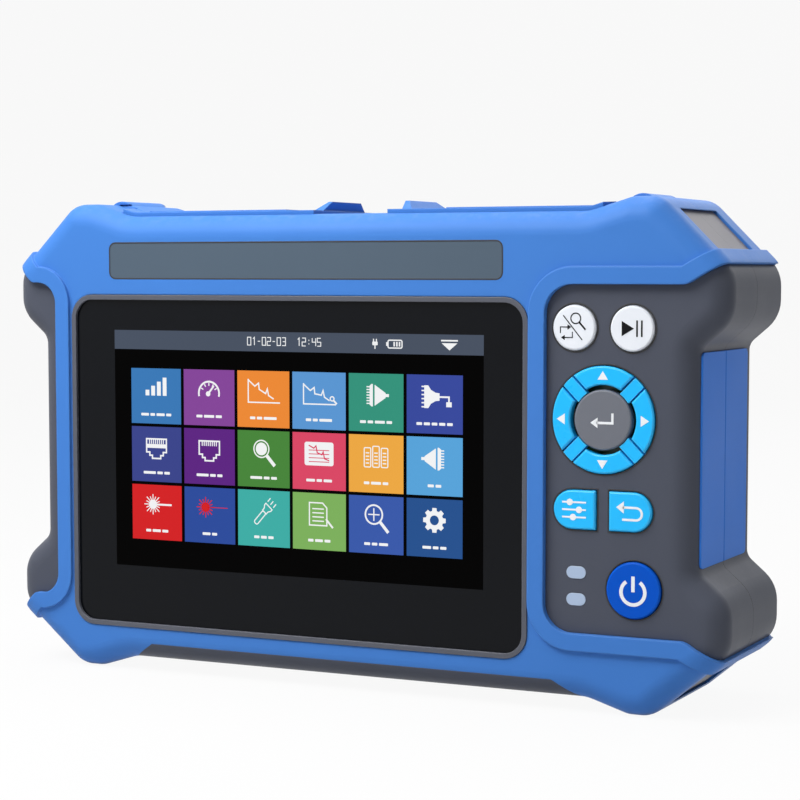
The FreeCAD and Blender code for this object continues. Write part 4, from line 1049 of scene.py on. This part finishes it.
clothLook = {"slot": (16, 1.6), "pitch": 4, "count": 5, "depth": 0.9, "thick": 0.4,
             "weave": 420, "gapColour": (0.006, 0.006, 0.007), "threadColour": (0.05, 0.05, 0.055),
             "strength": 0.8, "bump": 0.1, "rough": 0.9, "sheen": 0.2}


def makeClothFinish(look):
    # black woven cloth
    material, tree, shader = startMaterial("speakerCloth")
    across, up = (addNode(tree, "TexWave", {"Vector": objectPoint(tree),
        "Scale": look["weave"]}, wave_type="BANDS", bands_direction=way).outputs["Fac"]
        for way in "XZ")
    weave = addMath(tree, "MAXIMUM", across, up)
    feed(tree, shader, {
        "Base Color": mixTones(tree, weave, look["gapColour"], look["threadColour"]),
        "Normal": addBump(tree, look["strength"], look["bump"] * mm, Height=weave),
        "Roughness": look["rough"], "Sheen Weight": look["sheen"]})
    return material


def makeSpeakerCloth(look):
    # a strip of cloth behind each slot of the speaker
    middle = middleOf("speaker")[0]
    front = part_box("battery_door")[1].y - look["depth"] * mm
    halfX, halfZ = (side * mm / 2 for side in look["slot"])
    build = bmesh.new()
    for i in range(look["count"]):
        z = middle.z + (i - (look["count"] - 1) / 2) * look["pitch"] * mm
        addBox(build, (middle.x - halfX, front - look["thick"] * mm, z - halfZ),
               (middle.x + halfX, front, z + halfZ))
    finishPiece(build, "speaker_cloth", [makeClothFinish(look)])


makeSpeakerCloth(clothLook)
print("fittings in place")

# floor, light and camera
stageLook = {"floorColour": (0.6, 0.6, 0.6, 1), "rough": 0.9, "specular": 0.1, "white": 0.93,
             "air": 0.22, "reach": 6, "frontY": -4, "wallY": 1.6, "wallBend": 1,
             "bendSteps": 12, "wallTop": 5}


def whiteShare(tree, low, high):
    # high for what the camera, a gloss or a clear piece sees, low for the light on the object
    path = addNode(tree, "LightPath").outputs
    seen = addMath(tree, "ADD", path["Is Camera Ray"], path["Is Glossy Ray"])
    both = addMath(tree, "ADD", seen, path["Is Transmission Ray"], clamp=True)
    return remap(tree, both, 0, 1, low, high)


def makeFloor(look):
    # floor that bends up into a backdrop
    build = bmesh.new()
    profile = [(look["frontY"], 0), (look["wallY"], 0)]
    for i in range(1, look["bendSteps"] + 1):
        turn = i / look["bendSteps"] * math.pi / 2
        profile.append((look["wallY"] + look["wallBend"] * math.sin(turn),
                        look["wallBend"] * (1 - math.cos(turn))))
    profile.append((look["wallY"] + look["wallBend"], look["wallTop"]))
    rows = [[build.verts.new((x, y, z)) for x in (-look["reach"], look["reach"])]
            for y, z in profile]
    for low, high in zip(rows, rows[1:]):
        build.faces.new((low[0], low[1], high[1], high[0])).smooth = True
    material, tree, shader = startMaterial("studioPaper")
    feed(tree, shader, {"Base Color": look["floorColour"], "Roughness": look["rough"],
        "Specular IOR Level": look["specular"]})
    glow = addNode(tree, "Emission", {"Color": (1, 1, 1, 1), "Strength": 1})
    blend = addNode(tree, "MixShader", {0: whiteShare(tree, 0, look["white"]),
        1: shader.outputs[0], 2: glow.outputs[0]})
    feed(tree, tree.nodes["Material Output"], {"Surface": blend.outputs[0]})
    floor = addMesh("studioFloor", build, [material])


def makeLamp(name, place, aim, size, power):
    light = bpy.data.lights.new(name, "AREA")
    light.shape = "RECTANGLE"
    light.size, light.size_y = size
    light.energy = power
    lamp = addObject(name, light)
    lamp.location = place
    lamp.rotation_euler = (Vector(aim) - Vector(place)).to_track_quat("-Z", "Y").to_euler()


makeFloor(stageLook)
lampLooks = {    # place, what it points at, width and height, watts
    "keySoftbox": ((-0.2, -0.38, 0.56), (-0.02, -0.03, 0.13), (0.5, 0.28), 4.4),
    "topSoftbox": ((-0.1, 0.05, 1.1), (0, 0, 0.1), (1.2, 0.8), 8.4),
    "sideSoftbox": ((1.2, -0.35, 0.55), (0.1, 0, 0.09), (0.7, 0.9), 0.8),
    "backSoftbox": ((0.3, 1.3, 0.9), (0, 0, 0.1), (1.2, 0.8), 4.5)}
for name, look in lampLooks.items():
    makeLamp(name, *look)

world = bpy.data.worlds.new("studioAir")
scene.world = world
world.use_nodes = True
air = world.node_tree
feed(air, air.nodes["Background"], {"Color": (1, 1, 1, 1),
    "Strength": whiteShare(air, stageLook["air"], 1)})

cameraLook = {"place": (0.3608, -0.7265, 0.1534), "tilt": 85.645, "turn": 25.957, "lens": 97.26,
              "sensor": 36, "shiftY": 0.044, "nearest": 0.01}
cameraData = bpy.data.cameras.new("camera")
cameraData.lens = cameraLook["lens"]
cameraData.sensor_width = cameraLook["sensor"]
cameraData.shift_y = cameraLook["shiftY"]
cameraData.clip_start = cameraLook["nearest"]
camera = addObject("camera", cameraData)
camera.location = cameraLook["place"]
camera.rotation_euler = (math.radians(cameraLook["tilt"]), 0, math.radians(cameraLook["turn"]))
scene.camera = camera
scene.view_settings.view_transform = "Standard"
print("stage, lamps and camera set")
